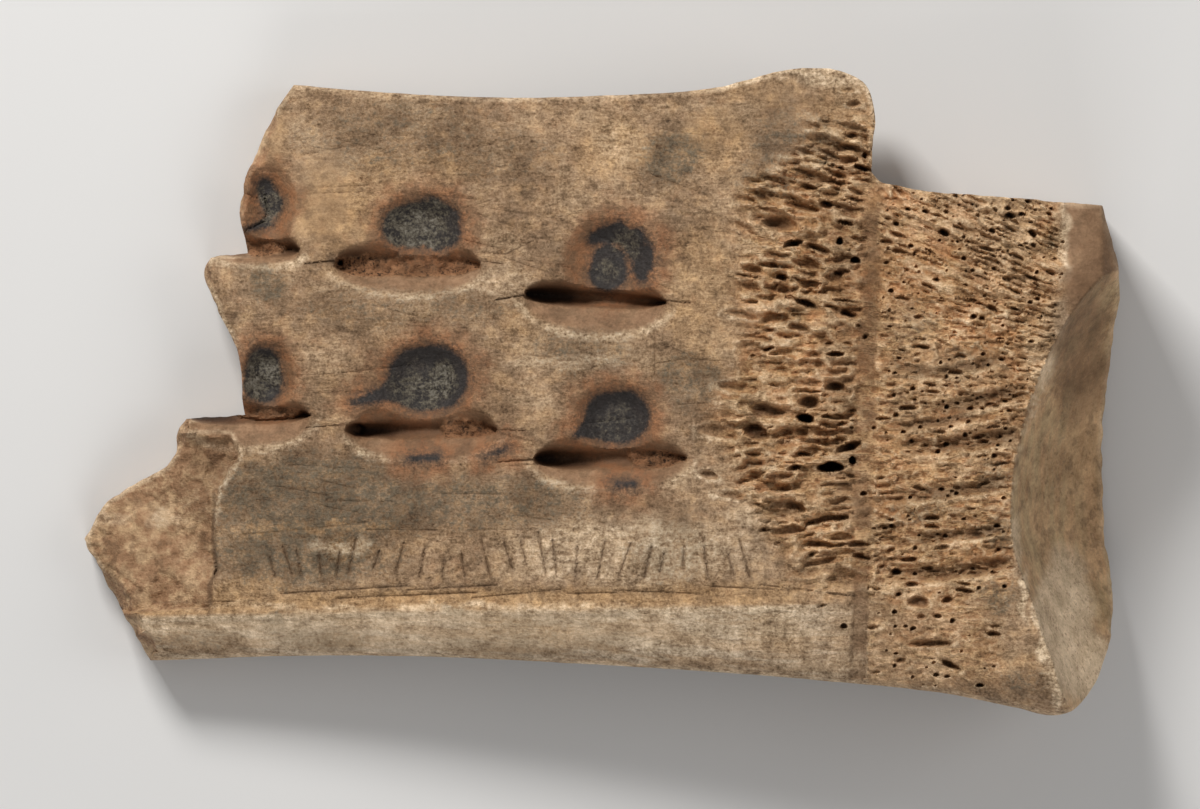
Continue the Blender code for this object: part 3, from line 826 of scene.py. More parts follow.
def incised_lines():
    """Every fine cut in the face: (start, end, half width, depth)."""
    lines = []
    for points, half_width, depth in CRACKS:
        lines += [(start, end, half_width, depth) for start, end in zip(points, points[1:])]
    lines += [(start, end, STROKE_HALF_WIDTH, STROKE_DEPTH) for start, end in stroke_lines()]
    lines += [(start, end, *SCRAPE_CUT) for start, end in SCRAPES]
    lines += [(start, end, *HATCH_CUT) for start, end in hatch_lines()]
    lines += [(start, end, *SCRATCH_CUT) for start, end in scratch_lines()]
    return lines


def line_cut(x, y, lines):
    """Depth of the incised lines at each point, and how strongly it lies on one."""
    depth, mark = np.zeros((2, len(x)))
    for start, end, half_width, deepest in lines:
        near = (np.abs(x - (start[0] + end[0]) / 2.0) < abs(end[0] - start[0]) / 2.0 + 0.6) & (
            np.abs(y - (start[1] + end[1]) / 2.0) < abs(end[1] - start[1]) / 2.0 + 0.6
        )
        distance, _ = segment_distance(x[near], y[near], start, end)
        share = np.maximum(1.0 - distance / half_width, 0.0)
        depth[near] = np.maximum(depth[near], deepest * share)
        mark[near] = np.maximum(mark[near], share**0.45 * min(deepest / STROKE_DEPTH, 1.0))
    return depth, mark


# ---------------------------------------------------------------- spongy bone


def spongy_zone(x, y):
    """1 in the open spongy bone between the blade and the socket, 0 on the smooth bone."""
    ragged = 1.6 * fractal(x / 2.0, y, 3.0, 71)
    left_edge = SPONGY_LEFT_X - 3.5 * smooth_step(8.0, 0.0, np.abs(y + 4.0))
    left_edge = left_edge + 8.0 * smooth_step(-11.0, -25.0, y) + 8.0 * smooth_step(25.0, 31.0, y)
    right_edge = SPONGY_RIGHT_X - 5.5 * smooth_step(4.0, -10.0, y) - 1.6 * smooth_step(-18.0, -30.0, y)
    low_edge = smooth_step(-39.0, -34.0, y) * (1.0 - 0.35 * smooth_step(-24.0, -29.0, y))
    low_edge = low_edge * np.where(x < SAW_LINE_X, smooth_step(-27.0, -23.0, y), 1.0)
    inside = smooth_step(-2.5, 2.5, x - left_edge + ragged)
    inside = inside * smooth_step(1.0, -1.0, x - right_edge + 0.5 * ragged)
    return inside * low_edge * smooth_step(38.0, 31.0, y)


def grain_lean(x, line_y):
    """How far the grain line that crosses the saw line at line_y falls for each millimetre of x."""
    rise = np.where(x < SAW_LINE_X, 0.22, 0.44)
    fall = np.where(x < SAW_LINE_X, 0.12, 0.08)
    return rise * smooth_step(-6.0, 30.0, line_y) - fall * smooth_step(-4.0, -30.0, line_y)


def grain_line(x, y):
    """Where the grain line through each point crosses the saw line. The grain fans out from it."""
    line_y = y
    for _ in range(5):
        line_y = y + grain_lean(x, line_y) * (x - SAW_LINE_X)
    return line_y


def spongy_relief(x, y):
    """Depth of the shallow troughs along the grain, how deep in one each point lies, which paints shade in
    the troughs, and how near a crest, which paints a highlight on it.
    """
    left = x < SAW_LINE_X
    streaky = smooth_step(5.0, 12.0, y) * smooth_step(38.0, 45.0, x)
    length = np.where(left, 3.6, 1.9 + 1.2 * streaky)
    width = np.where(left, 1.05, 0.85)
    along = (x - SAW_LINE_X + 0.9 * fractal(x, y, 2.4, 73)) / length
    across = (grain_line(x, y) + 0.35 * fractal(x, y, 1.7, 75)) / width
    wide = np.abs(fractal(along, across, 1.0, 77, 2))
    narrow = np.abs(fractal(along * 2.1, across * 1.9, 1.0, 79, 2))
    uneven = 0.8 + 0.6 * fractal(x, y, 7.0, 83)
    quiet = 0.9 + 0.1 * streaky - 0.25 * smooth_step(-20.0, -27.0, y)
    strength = uneven * np.where(left, 1.5, quiet)
    depth = strength * (0.95 * smooth_step(0.0, 0.5, wide) + 0.32 * smooth_step(0.0, 0.45, narrow))
    crests = smooth_step(0.2, 0.03, wide) + 0.6 * smooth_step(0.13, 0.02, narrow)
    return depth, smooth_step(0.22, 0.6, wide), crests * np.minimum(strength + 0.2, 1.0)


def pore_share(x, y):
    """How thickly small open pores stand in the spongy bone, from 0 to 1."""
    cluster = 0.6 * smooth_step(9.0, 3.0, np.hypot((x - 46.5) / 1.2, y + 1.5))
    low_cluster = 0.8 * smooth_step(2.4, 1.0, np.hypot((x - 44.8) / 1.3, y + 14.0))
    corner = 0.45 * smooth_step(6.0, 16.0, y)
    smooth_low = 0.1 * smooth_step(-8.0, -13.0, y)
    right = 0.35 + cluster + low_cluster + corner - smooth_low + 0.3 * fractal(x, y, 4.0, 85)
    left = 0.3 * smooth_step(16.5, 19.5, x) + 0.6 * smooth_step(20.0, 31.0, x)
    return spongy_zone(x, y) * np.where(x < SAW_LINE_X, left, right)


def scattered_pores():
    """All the open pores: the large ones, and small ones that follow the grain and never meet."""
    rng = np.random.default_rng(104)
    pores = [np.array(cell) for cell in LARGE_CELLS]
    for corner, opposite, tries, lengths, widths, depths in PORE_FIELDS:
        x, y = rng.uniform(corner[0], opposite[0], tries), rng.uniform(corner[1], opposite[1], tries)
        size, spread = rng.random(tries) ** 1.6, rng.uniform(0.75, 1.25, tries)
        angle = -np.degrees(np.arctan(grain_lean(x, grain_line(x, y)))) + rng.normal(0.0, 8.0, tries)
        kept = (rng.random(tries) < pore_share(x, y)) & (x < socket_rim_x(np.minimum(y, 14.0)) - 0.9)
        kept &= saw_band(x, y) > 1.4
        ranges = (lengths, widths, depths)
        half_length, half_width, depth = (low + (high - low) * size for low, high in ranges)
        made = np.stack([x, y, half_length * spread, half_width / spread**0.5, angle, depth], axis=1)[kept]
        for pore in made:
            others = np.array(pores)
            apart_x = (others[:, 0] - pore[0]) / (others[:, 2] + pore[2])
            apart_y = (others[:, 1] - pore[1]) / (others[:, 3] + pore[3])
            if np.hypot(apart_x, apart_y).min() > 1.2:
                pores.append(pore)
    return np.array(pores)


def pore_depth(pores, x, y):
    """Depth of the open pores at each point, and how near it lies outside a pore's rim, where a painted
    highlight is strongest on the rim's lower, lit side.
    """
    depth, rim = np.zeros((2, len(x)))
    for centre_x, centre_y, half_length, half_width, angle, deepest in pores:
        reach = half_length + 0.6
        near = np.nonzero((np.abs(x - centre_x) < reach) & (np.abs(y - centre_y) < reach))[0]
        along, across = turned(x[near] - centre_x, y[near] - centre_y, -angle)
        u, v = along / half_length, across / half_width
        share = np.hypot(u, v + 0.25 * u * u) * (1.0 + 0.22 * value_noise(x[near], y[near], 0.9, 91))
        depth[near] = np.maximum(depth[near], deepest * np.maximum(1.0 - share**3, 0.0) ** 0.9)
        # Painted highlight: full on the rim's lower side, which faces the light.
        lit = np.where(v < 0.0, 1.0, 0.35)
        raised = lit * smooth_step(1.75, 1.15, share) * smooth_step(0.9, 1.05, share)
        rim[near] = np.maximum(rim[near], raised)
    return depth, rim


def trench_fill(x, y):
    """1 where crumbling bone fills a trench."""
    total = np.zeros_like(x)
    for (centre_x, centre_y), half_length, half_width in TRENCH_FILLS:
        apart = np.hypot((x - centre_x) / half_length, (y - centre_y) / half_width)
        total = np.maximum(total, smooth_step(1.1, 0.85, apart + 0.3 * fractal(x, y, 1.8, 93)))
    return total


def lay_ground(at):
    """The worked face with its crest, the spongy bone, the worn grooves and the saw cut's band."""
    x, y = at.x, at.y
    band = saw_band(x, y)
    at.in_band = smooth_step(1.25, 0.7, band)
    at.spongy = spongy_zone(x, y)
    at.rugged = at.spongy * (1.0 - 0.6 * at.in_band)
    at.trough, at.in_trough, at.ridge_line = spongy_relief(x, y)
    groove, at.in_groove, at.groove_lip = worn_grooves(x, y)
    crest_relief, at.above_crest = crest(x, y)
    waves = 0.12 * fractal(x, y, 6.0, 45) + 0.05 * fractal(x / 2.0, y, 1.3, 49)
    band_edges = 0.14 * np.maximum(1.0 - np.abs(band - 0.9) / 0.3, 0.0)
    height = worked_face(x, y) + crest_relief - at.rugged * (at.trough - 0.15) + (1.0 - at.spongy) * waves
    at.ground = at.height = height - groove - SAW_BAND_DEPTH * at.in_band - band_edges


def cut_hollows(at):
    """The chiselled hollows, with crumbling bone left in some of their trenches."""
    x, y = at.x, at.y
    hollow, trench, soot, bank, lip = np.zeros((5, len(x)))
    for shape, pit in zip(TRENCHES, PITS):
        depth, dark, brown = trench_depth(shape, x, y)
        along, across = trench_places(shape, x, y)
        _, below, _ = trench_edges(shape, along)
        trench = np.maximum(trench, depth)
        soot = np.maximum(soot, dark)
        bank = np.maximum(bank, brown)
        hollow = np.maximum(hollow, np.maximum(depth, pit_depth(pit, x, y)))
        # Painted highlight along the lower lip of each trench's lower slope.
        edge = np.abs(across + below + 0.1 + 0.3 * fractal(x, y, 1.6, 52))
        lip = np.maximum(lip, smooth_step(0.75, 0.1, edge) * (below > 0.4))
    for hole_x, hole_y, radius in TRENCH_HOLES:
        apart = np.hypot((x - hole_x) / 1.3, y - hole_y) / radius + 0.2 * fractal(x, y, 1.0, 56)
        hollow = np.maximum(hollow, TRENCH_HOLE_DEPTH * smooth_step(1.3, 0.4, apart))
        soot = np.maximum(soot, smooth_step(1.6, 0.5, apart))
    filled = smooth_step(1.3, 1.8, trench) * trench_fill(x, y) * (soot < 0.98)
    crumbs = 0.3 * fractal(x, y, 2.0, 55) + 0.55 * fractal(x, y, 0.8, 58)
    hollow = hollow + filled * (np.minimum(hollow, FILL_LEVEL) + crumbs - hollow)
    # Painted shade: the trench floors, the deep holes and the dips between the fill's crumbs are darkened.
    at.soot = soot + filled * (0.9 * np.maximum(crumbs - 0.05, 0.0) - soot)
    at.hollow, at.filled, at.bank, at.lip = hollow, filled, bank, lip
    at.in_trench = smooth_step(0.5, 1.5, trench)
    at.flat = smooth_step(0.05, 0.5, hollow)
    height = np.where(hollow > 0.0, np.minimum(at.height, face_plane(x, y)) - hollow, at.height)
    at.height = height + 0.08 * at.flat * fractal(x, y, 1.8, 57)


def open_pores(at, pores, lines):
    """The open pores with their raised rims, and the incised lines."""
    depth, at.pore_rim = pore_depth(pores, at.x, at.y)
    at.pores = depth * (1.0 - at.flat) * (1.0 - 0.3 * at.in_band)
    cut, at.line = line_cut(at.x, at.y, lines)
    rims = 0.08 * at.pore_rim * (1.0 - at.flat)
    at.height = at.height - at.pores + rims - cut * (1.0 - at.in_trench)


def split_tip(at):
    """The lower, rough surface where the outer layer has split off."""
    at.split_inside = split_distance(at.x, at.y)
    at.split = smooth_step(-0.15, 0.2, at.split_inside)
    lower = np.minimum(at.height, split_height(at.x, at.y))
    at.height = at.height * (1.0 - at.split) + lower * at.split


def sink_socket(at):
    """The joint socket, with its chipped rim."""
    x, y = at.x, at.y
    roughness = 0.04 + smooth_step(-24.0, -34.0, y) * 0.3
    socket = socket_height(x, y) + 0.15 * fractal(x, y, 5.0, 63) + roughness * fractal(x, y, 1.2, 67)
    at.in_socket = smooth_step(-0.05, 0.25, at.ground - socket)
    at.away = smooth_step(-0.05, 0.1, socket - at.ground)
    near_rim = smooth_step(1.4, 0.0, np.abs(socket - at.ground))
    rim_chips = 0.18 * np.maximum(fractal(x, y, 1.1, 69), 0.0) * near_rim
    at.height = np.minimum(at.height - rim_chips, socket)


def edge_drop(radius, inside):
    """How far a rounded edge drops at a distance inside it."""
    gap = np.clip(radius - inside, 0.0, radius)
    return radius - np.sqrt(np.maximum(radius**2 - gap**2, 0.0))


def round_edges(at, outline):
    """The rounded upper edge, and the bevels where the broken wall leans out."""
    at.inside, near = outline.depth(at.x, at.y)
    at.broken = outline.broken[near]
    bevel = np.maximum(outline.bevel[near] - at.inside, 0.0)
    at.in_bevel = smooth_step(0.0, 0.3, bevel)
    at.height = at.height - edge_drop(outline.upper_radius[near], at.inside) - BEVEL_SLOPE * bevel


def pale_mark(at):
    """How pale the surface is: pale stains with some painted light, painted highlights on lips, pore rims,
    grooves and crests, and edges that are worn and also carry a painted highlight.
    """
    x, y, above = at.x, at.y, at.above_crest
    on_crest = smooth_step(0.3, -0.3, above) * smooth_step(-3.5, -0.8, above)
    on_crest = np.maximum(on_crest, 1.3 * smooth_step(0.55, 0.1, np.abs(above + 0.45)))
    split_edge = smooth_step(0.35, 0.1, np.abs(at.split_inside + 0.25)) * smooth_step(-18.0, -15.0, y)
    pale = np.maximum.reduce([
        blobs(x, y, PALE_STAINS_AND_LIGHT, 111),
        at.lip * (0.55 + 0.6 * fractal(x, y, 2.0, 113)),
        0.7 * (on_crest * smooth_step(36.0, 20.0, x)),
        smooth_step(0.75, 0.2, at.inside) * (0.35 + 0.4 * at.broken),
        0.55 * split_edge,
        0.8 * at.rugged * at.ridge_line * (at.pores < 0.1),
        at.groove_lip,
        0.8 * at.pore_rim * (1.0 - at.flat),
    ])
    return pale * (1.0 - 0.8 * at.in_bevel)


def face_marks(at):
    """The marks on the upper surface, by name."""
    x, y, above = at.x, at.y, at.above_crest
    distance, ash = scorch_distance(x, y)
    above_strip = smooth_step(-0.1, 0.3, above) * smooth_step(3.4, 1.8, above)
    above_strip = above_strip * smooth_step(34.0, 16.0, x) * (1.0 - at.split)
    # Painted shade in the spongy bone's troughs.
    trough_shade = at.rugged * np.maximum(0.42 * at.in_trough, 0.5 * np.maximum(at.trough - 0.3, 0.0))
    corner = smooth_step(57.6, 58.4, x) * smooth_step(9.0, 13.0, y) * (1.0 - at.in_socket)
    on_band = np.clip(0.6 + 0.9 * fractal(x, y, 2.6, 141), 0.0, 1.0) * at.in_band
    clean = 1.0 - at.filled
    return {
        "scorch": distance + 6.0 * at.in_socket,
        "ash": ash,
        # Painted shade in the trenches.
        "soot": at.soot,
        "grey": blobs(x, y, GREY_STAINS, 121) * (1.0 - smooth_step(0.2, 1.0, at.hollow)),
        "pale": pale_mark(at),
        "warm": np.maximum(blobs(x, y, WARM_STAINS, 131), above_strip),
        # Painted shade, darker with depth, in the pores and troughs and on the leaning broken walls.
        "cavity": np.maximum.reduce([at.pores, trough_shade, 0.4 * at.in_bevel]) * at.away,
        "line": at.line * (1.0 - at.in_trench) * at.away,
        "spongy": np.maximum(at.spongy, at.filled) * at.away,
        "raw": np.maximum(at.split, at.in_bevel),
        "socket": at.in_socket,
        "scraped": np.maximum(at.flat * clean, 0.8 * corner),
        "fill": at.filled,
        # Painted shade on the hollows' upper banks, in the worn grooves and on the socket's upper side, with
        # the saw band's own brown.
        "shade": np.maximum.reduce([
            at.bank * clean,
            blobs(x, y, SHADED, 137),
            on_band * (1.0 - at.in_socket),
            0.8 * at.in_groove * at.away,
        ]),
        # The rear border band: paler partly in its own colour and partly as painted light.
        "border": smooth_step(0.2, -0.5, above) * smooth_step(38.0, 22.0, x),
        "smooth": np.maximum.reduce([
            0.5 * at.flat, 0.6 * at.in_socket, 0.8 * corner, blobs(x, y, SMOOTH, 139),
        ]),
    }


class Face:
    """The whole upper surface: its height and the marks on it, at any points inside the outline."""

    def __init__(self, outline):
        """Lays out the incised lines and the pores."""
        self.outline = outline
        self.lines = incised_lines()
        self.pores = scattered_pores()

    def measure(self, x, y):
        """Heights, and a table of marks by name."""
        at = SimpleNamespace(x=x, y=y)
        lay_ground(at)
        cut_hollows(at)
        open_pores(at, self.pores, self.lines)
        split_tip(at)
        sink_socket(at)
        round_edges(at, self.outline)
        return at.height, face_marks(at)


def mark_layers():
    """The names of the marks in fours, as they are stored in a colour's channels."""
    return [MARKS[first:first + 4] for first in range(0, len(MARKS), 4)]


def layer_name(names):
    """The name of the mesh attribute that holds four marks."""
    return "marks_" + "_".join(names)


# ---------------------------------------------------------------- points on the face


def hex_grid(spacing, seed):
    """Slightly scattered points over the bone's bounding box."""
    low, high = (Vector(corner) / MM for corner in cad_bounds)
    rows = np.arange(low.y, high.y, spacing * 0.866)
    columns = np.arange(low.x, high.x, spacing)
    x, y = np.meshgrid(columns, rows)
    x = x + 0.5 * spacing * (np.arange(len(rows)) % 2)[:, None]
    scatter = np.random.default_rng(seed).uniform(-SCATTER, SCATTER, (2, *x.shape)) * spacing
    return np.stack([(x + scatter[0]).ravel(), (y + scatter[1]).ravel()], axis=1)


def shifted_rows(x, y, shifts):
    """Copies of a row of points, each moved by a shift in x and y."""
    return np.concatenate([np.stack([x, y], axis=1) + shift for shift in shifts])


def edge_rows(outline):
    """Rows of points just inside the outline, for its rounded edge and its leaning walls."""
    rows = []
    for inset in (0.12, 0.35, 0.8):
        rows.append(outline.deep(outline.points + outline.inward * inset, 0.75 * inset))
    leaning = outline.bevel > 0.4
    row = (outline.points + outline.inward * outline.bevel[:, None])[leaning]
    rows.append(outline.deep(row, 0.75 * outline.bevel[leaning]))
    return np.concatenate(rows)


def socket_rim_rows():
    """Rows of points on both sides of the socket's rim."""
    y = np.arange(*SOCKET_RIM_Y, 0.32)
    return shifted_rows(socket_rim_x(y), y, [(shift, 0.0) for shift in (-0.45, -0.12, 0.12, 0.45, 0.9)])


def trench_rows():
    """Rows of points along each trench's floor, its sides and the edges of its slopes."""
    rows = []
    for trench in TRENCHES:
        centre, half_length, angle, *_ = trench
        along = np.linspace(-1.08, 1.08, round(half_length * 6.5)) * half_length
        width, below, above = trench_edges(trench, along)
        on_sides = [share * width for share in (-1.04, -0.85, -0.55, 0.55, 0.85, 1.04)]
        for across in (-below - 0.12, 0.15 - below, *on_sides, above, above + 0.3):
            rows.append(np.stack(turned(along, across, angle), axis=1) + centre)
    return np.concatenate(rows)


def band_rows():
    """Rows of points along the saw cut's band."""
    y = np.arange(*SAW_BAND_Y, 0.4)
    shifts = (-1.15, -0.85, -0.55, 0.55, 0.85, 1.15)
    return shifted_rows(band_middle(y), y, [(shift * SAW_BAND_HALF_WIDTH, 0.0) for shift in shifts])


def crest_rows():
    """Rows of points along the ridge's crest."""
    x = np.arange(*CREST_X, 0.45)
    shifts = (-1.4, -0.8, -0.3, 0.2, 0.7, 1.2, 2.0, 2.7)
    return shifted_rows(x, ridge_y(x) - CREST_DROP_Y, [(0.0, shift) for shift in shifts])


def ellipse_rings(table, shares, spacing):
    """Rings of points on ellipses: (x, y, half width, half height, angle in degrees)."""
    rings = []
    for centre_x, centre_y, half_width, half_height, angle in table:
        for share in shares:
            count = max(8, round(pi * (half_width + half_height) * share / spacing)) if share else 1
            turn = np.linspace(0.0, 2.0 * pi, count, endpoint=False)
            u = half_width * share * np.cos(turn)
            v = half_height * share * np.sin(turn) - 0.25 * half_height * share**2 * np.cos(turn) ** 2
            rings.append(np.stack(turned(u, v, angle), axis=1) + (centre_x, centre_y))
    return np.concatenate(rings)


def line_rows(lines):
    """Points along each incised line and on both its edges."""
    rows = []
    for start, end, half_width, _ in lines:
        start, end = np.array(start), np.array(end)
        length = np.linalg.norm(end - start)
        side = np.array([start[1] - end[1], end[0] - start[0]]) / length * half_width
        share = np.linspace(0.0, 1.0, max(2, round(length / 0.45)))[:, None]
        middle = start + (end - start) * share
        rows += [middle, middle + side, middle - side]
    return np.concatenate(rows)


def fine_zone(x, y):
    """True where the face needs close points."""
    near = (spongy_zone(x, y) > 0.15) | ((x > 53.0) & (y < -21.0))
    for (centre_x, centre_y), half_length, *_ in TRENCHES:
        near |= np.hypot((x - centre_x) / (half_length + 0.6), (y - centre_y) / 2.8) < 1.0
    return near | (split_distance(x, y) > -0.6)


class Crowd:
    """Points on the face, kept apart from each other on a fine raster."""

    def __init__(self):
        """An empty raster over the bone's bounding box."""
        low, high = (np.array(corner) / MM for corner in cad_bounds)
        self.low = low[:2] - 1.0
        size = np.ceil((high[:2] - low[:2] + 2.0) / RASTER).astype(int) + 1
        self.taken = np.zeros(tuple(size), bool)
        self.points = []

    def add(self, points, clearance):
        """Adds the points that are at least clearance away from those already there."""
        cells = np.round((points - self.low) / RASTER).astype(int)
        inside = ((cells > 0) & (cells < np.array(self.taken.shape) - 1)).all(axis=1)
        points, cells = points[inside], cells[inside]
        _, first = np.unique(cells[:, 0] * self.taken.shape[1] + cells[:, 1], return_index=True)
        first.sort()
        points, cells = points[first], cells[first]
        free = ~self.taken[cells[:, 0], cells[:, 1]]
        points, cells = points[free], cells[free]
        self.points.append(points)
        span = int(clearance / RASTER)
        for i in range(-span, span + 1):
            for j in range(-span, span + 1):
                if i * i + j * j <= span * span:
                    rows = np.clip(cells[:, 0] + i, 0, self.taken.shape[0] - 1)
                    columns = np.clip(cells[:, 1] + j, 0, self.taken.shape[1] - 1)
                    self.taken[rows, columns] = True


def face_points(outline, face):
    """All the points of the upper surface: the outline first, then the features and the ground."""
    crowd = Crowd()
    crowd.add(outline.points, 0.1)
    is_small = face.pores[:, 3] < 0.45
    features = (
        edge_rows(outline), socket_rim_rows(), line_rows(face.lines), trench_rows(), band_rows(),
        ellipse_rings(face.pores[is_small, :5], (1.32, 0.74, 0.0), 0.24),
        ellipse_rings(face.pores[~is_small, :5], (1.1, 0.82, 0.45, 0.0), 0.26),
    )
    for feature in features:
        crowd.add(feature, 0.1)
    pits = [(*centre, half_width, half_height, 0.0) for centre, half_width, half_height in PITS]
    crowd.add(ellipse_rings(pits, (1.0, 0.94), 0.45), 0.2)
    crowd.add(crest_rows(), 0.2)
    for spacing, seed, is_fine in ((FINE_SPACING, 141, True), (PLAIN_SPACING, 142, False)):
        ground = hex_grid(spacing, seed)
        crowd.add(ground[fine_zone(*ground.T) == is_fine], 0.2)
    return np.concatenate([outline.points, outline.deep(np.concatenate(crowd.points[1:]), 0.08)])


def triangulate(points, border):
    """Delaunay triangles inside a closed border made of the first points, with the points used.

    A triangle between three border points lies inside if it goes round them in the border's order.
    """
    edges = [(n, (n + 1) % border) for n in range(border)]
    vectors = [Vector(point) for point in points.tolist()]
    placed, _, faces, origins, *_ = delaunay_2d_cdt(vectors, edges, [], 1, 1e-5, True)
    faces = [
        (a, b, c) for a, b, c in faces
        if max(a, b, c) >= border or (b - a) % border < (c - a) % border
    ]
    used = sorted({corner for face in faces for corner in face} | set(range(border)))
    order = {old: new for new, old in enumerate(used)}
    for number in range(border):
        if number not in origins[number]:
            raise RuntimeError("the triangulation has moved the outline's points")
    kept = np.array([placed[old][:] for old in used])
    return kept, [tuple(order[corner] for corner in face) for face in faces]


# ---------------------------------------------------------------- underside and walls


def underside(outline, x, y):
    """Height of the lower surface, worn flat where it touches the table, with soft waves."""
    height = face_plane(x, y) - thickness(x, y)
    waves = 0.35 * fractal(x, y, 14.0, 151) + 0.12 * fractal(x, y, 3.5, 155)
    height = height + waves * smooth_step(0.1, 1.6, height)
    inside, near = outline.depth(x, y)
    return np.maximum(height, 0.0) + edge_drop(outline.lower_radius[near], inside)


def underside_points(outline):
    """Points of the lower surface, the outline first."""
    crowd = Crowd()
    crowd.add(outline.points, 0.3)
    rows = [outline.points + outline.inward * inset for inset in (0.5, 1.2, 2.2)]
    crowd.add(np.concatenate([row[::2] for row in rows]), 0.35)
    crowd.add(hex_grid(UNDERSIDE_SPACING, 143), 0.5)
    return np.concatenate([outline.points, outline.deep(np.concatenate(crowd.points[1:]), 0.3)])


def wall_rows(outline, top, bottom):
    """Rows of vertices between the two surfaces' edges, with the relief of broken or sawn bone, and the
    painted shade in the broken bone's dents.
    """
    rows, marks = [], []
    turn = 2.0 * pi * outline.along / outline.length
    around_x = outline.length / (2.0 * pi) * np.cos(turn)
    around_y = outline.length / (2.0 * pi) * np.sin(turn)
    for number in range(1, WALL_ROWS):
        share = number / WALL_ROWS
        height = top + (bottom - top) * share
        depth = (top - bottom) * share
        relief = np.abs(fractal(around_x + 40.0 * share, around_y + depth * 0.8, 1.6, 161))
        cells = value_noise(around_x + height * 0.5, around_y + height * 0.5, 1.1, 165)
        inset = (0.12 + 0.5 * outline.broken) * relief * sin(pi * share) ** 0.5
        inset = inset + 0.35 * outline.broken * np.maximum(cells, 0.0) * sin(pi * share)
        place = outline.points + outline.inward * inset[:, None]
        rows.append(np.column_stack([place, height]))
        marks.append(np.maximum(cells, 0.0) * outline.broken * sin(pi * share))
    return rows, marks


def bone_mesh():
    """One closed mesh: the upper surface, the walls and the underside."""
    outline = Outline()
    face = Face(outline)
    border = len(outline.points)
    upper, upper_faces = triangulate(face_points(outline, face), border)
    lower, lower_faces = triangulate(underside_points(outline), border)
    upper_z, marks = face.measure(*upper.T)
    lower_z = underside(outline, *lower.T)
    lower_z[:border] = np.minimum(lower_z[:border], upper_z[:border] - 0.5)
    rows, cells = wall_rows(outline, upper_z[:border], lower_z[:border])

    coords = [np.column_stack([upper, upper_z]), *rows, np.column_stack([lower, lower_z])]
    first_row = len(upper)
    first_lower = first_row + border * len(rows)
    loops = [np.arange(border)]
    loops += [first_row + border * n + np.arange(border) for n in range(len(rows))]
    loops += [first_lower + np.arange(border)]
    faces = list(upper_faces)
    for above, below in zip(loops, loops[1:]):
        above_next, below_next = np.roll(above, -1), np.roll(below, -1)
        faces += np.stack([above, below, below_next, above_next], axis=1).tolist()
    faces += [tuple(first_lower + corner for corner in reversed(face)) for face in lower_faces]

    mesh = bpy.data.meshes.new("oracle_bone")
    mesh.from_pydata(np.concatenate(coords) * MM, [], faces)
    mesh.validate()
    patch = blobs(*lower.T, UNDERSIDE_STAINS, 171)
    elsewhere = {
        "scorch": (FAR, FAR), "raw": (np.tile(outline.broken, len(rows)), 0.0),
        "cavity": (np.concatenate(cells), 0.0), "grey": (0.0, patch),
    }
    for name in MARKS:
        wall, under = elsewhere.get(name, (0.0, 0.0))
        wall, under = np.broadcast_to(wall, border * len(rows)), np.broadcast_to(under, len(lower))
        marks[name] = np.concatenate([marks[name], wall, under])
    for names in mark_layers():
        layer = mesh.attributes.new(layer_name(names), "FLOAT_COLOR", "POINT")
        columns = np.stack([marks[name] for name in names], axis=1)
        layer.data.foreach_set("color", columns.astype(np.float32).ravel())
    grain = np.concatenate([grain_line(*upper.T), np.tile(outline.points[:, 1], len(rows)), lower[:, 1]])
    layer = mesh.attributes.new("grain", "FLOAT", "POINT")
    layer.data.foreach_set("value", (grain * MM).astype(np.float32))
    add_bake_map(mesh, len(upper_faces), len(lower_faces), outline)
    mesh.shade_smooth()
    mesh.set_sharp_from_angle(angle=radians(SHARP_ANGLE))
    return mesh


def add_bake_map(mesh, upper_faces, lower_faces, outline):
    """A map that lays the upper surface, the walls and the underside side by side."""
    corners = np.empty(len(mesh.loops), int)
    mesh.loops.foreach_get("vertex_index", corners)
    starts = np.empty(len(mesh.polygons), int)
    mesh.polygons.foreach_get("loop_start", starts)
    coords = np.empty(len(mesh.vertices) * 3)
    mesh.vertices.foreach_get("co", coords)
    place = coords.reshape(-1, 3)[corners] / MM
    low, high = (np.array(corner) / MM for corner in cad_bounds)
    width = high[0] - low[0] + 1.0
    flat = (place[:, :2] - low[:2] + 0.5) / width
    uv = flat * MAP_SPAN + MAP_MARGIN
    wall_start, wall_end = starts[upper_faces], starts[len(mesh.polygons) - lower_faces]
    wall = slice(wall_start, wall_end)
    squares = (wall_end - wall_start) // 4
    column = np.arange(squares) % len(outline.points)
    along = np.append(outline.along, outline.length)
    sides = np.stack([along[column], along[column], along[column + 1], along[column + 1]], axis=1).ravel()
    uv[wall, 0] = MAP_MARGIN + MAP_SPAN * sides / outline.length
    uv[wall, 1] = MAP_WALL_START + MAP_WALL_HEIGHT * place[wall, 2] / high[2]
    uv[wall_end:] = flat[wall_end:] * MAP_UNDERSIDE_SCALE + MAP_UNDERSIDE_CORNER
    layer = mesh.uv_layers.new(name="OFBake")
    layer.data.foreach_set("uv", uv.astype(np.float32).ravel())


# ---------------------------------------------------------------- material


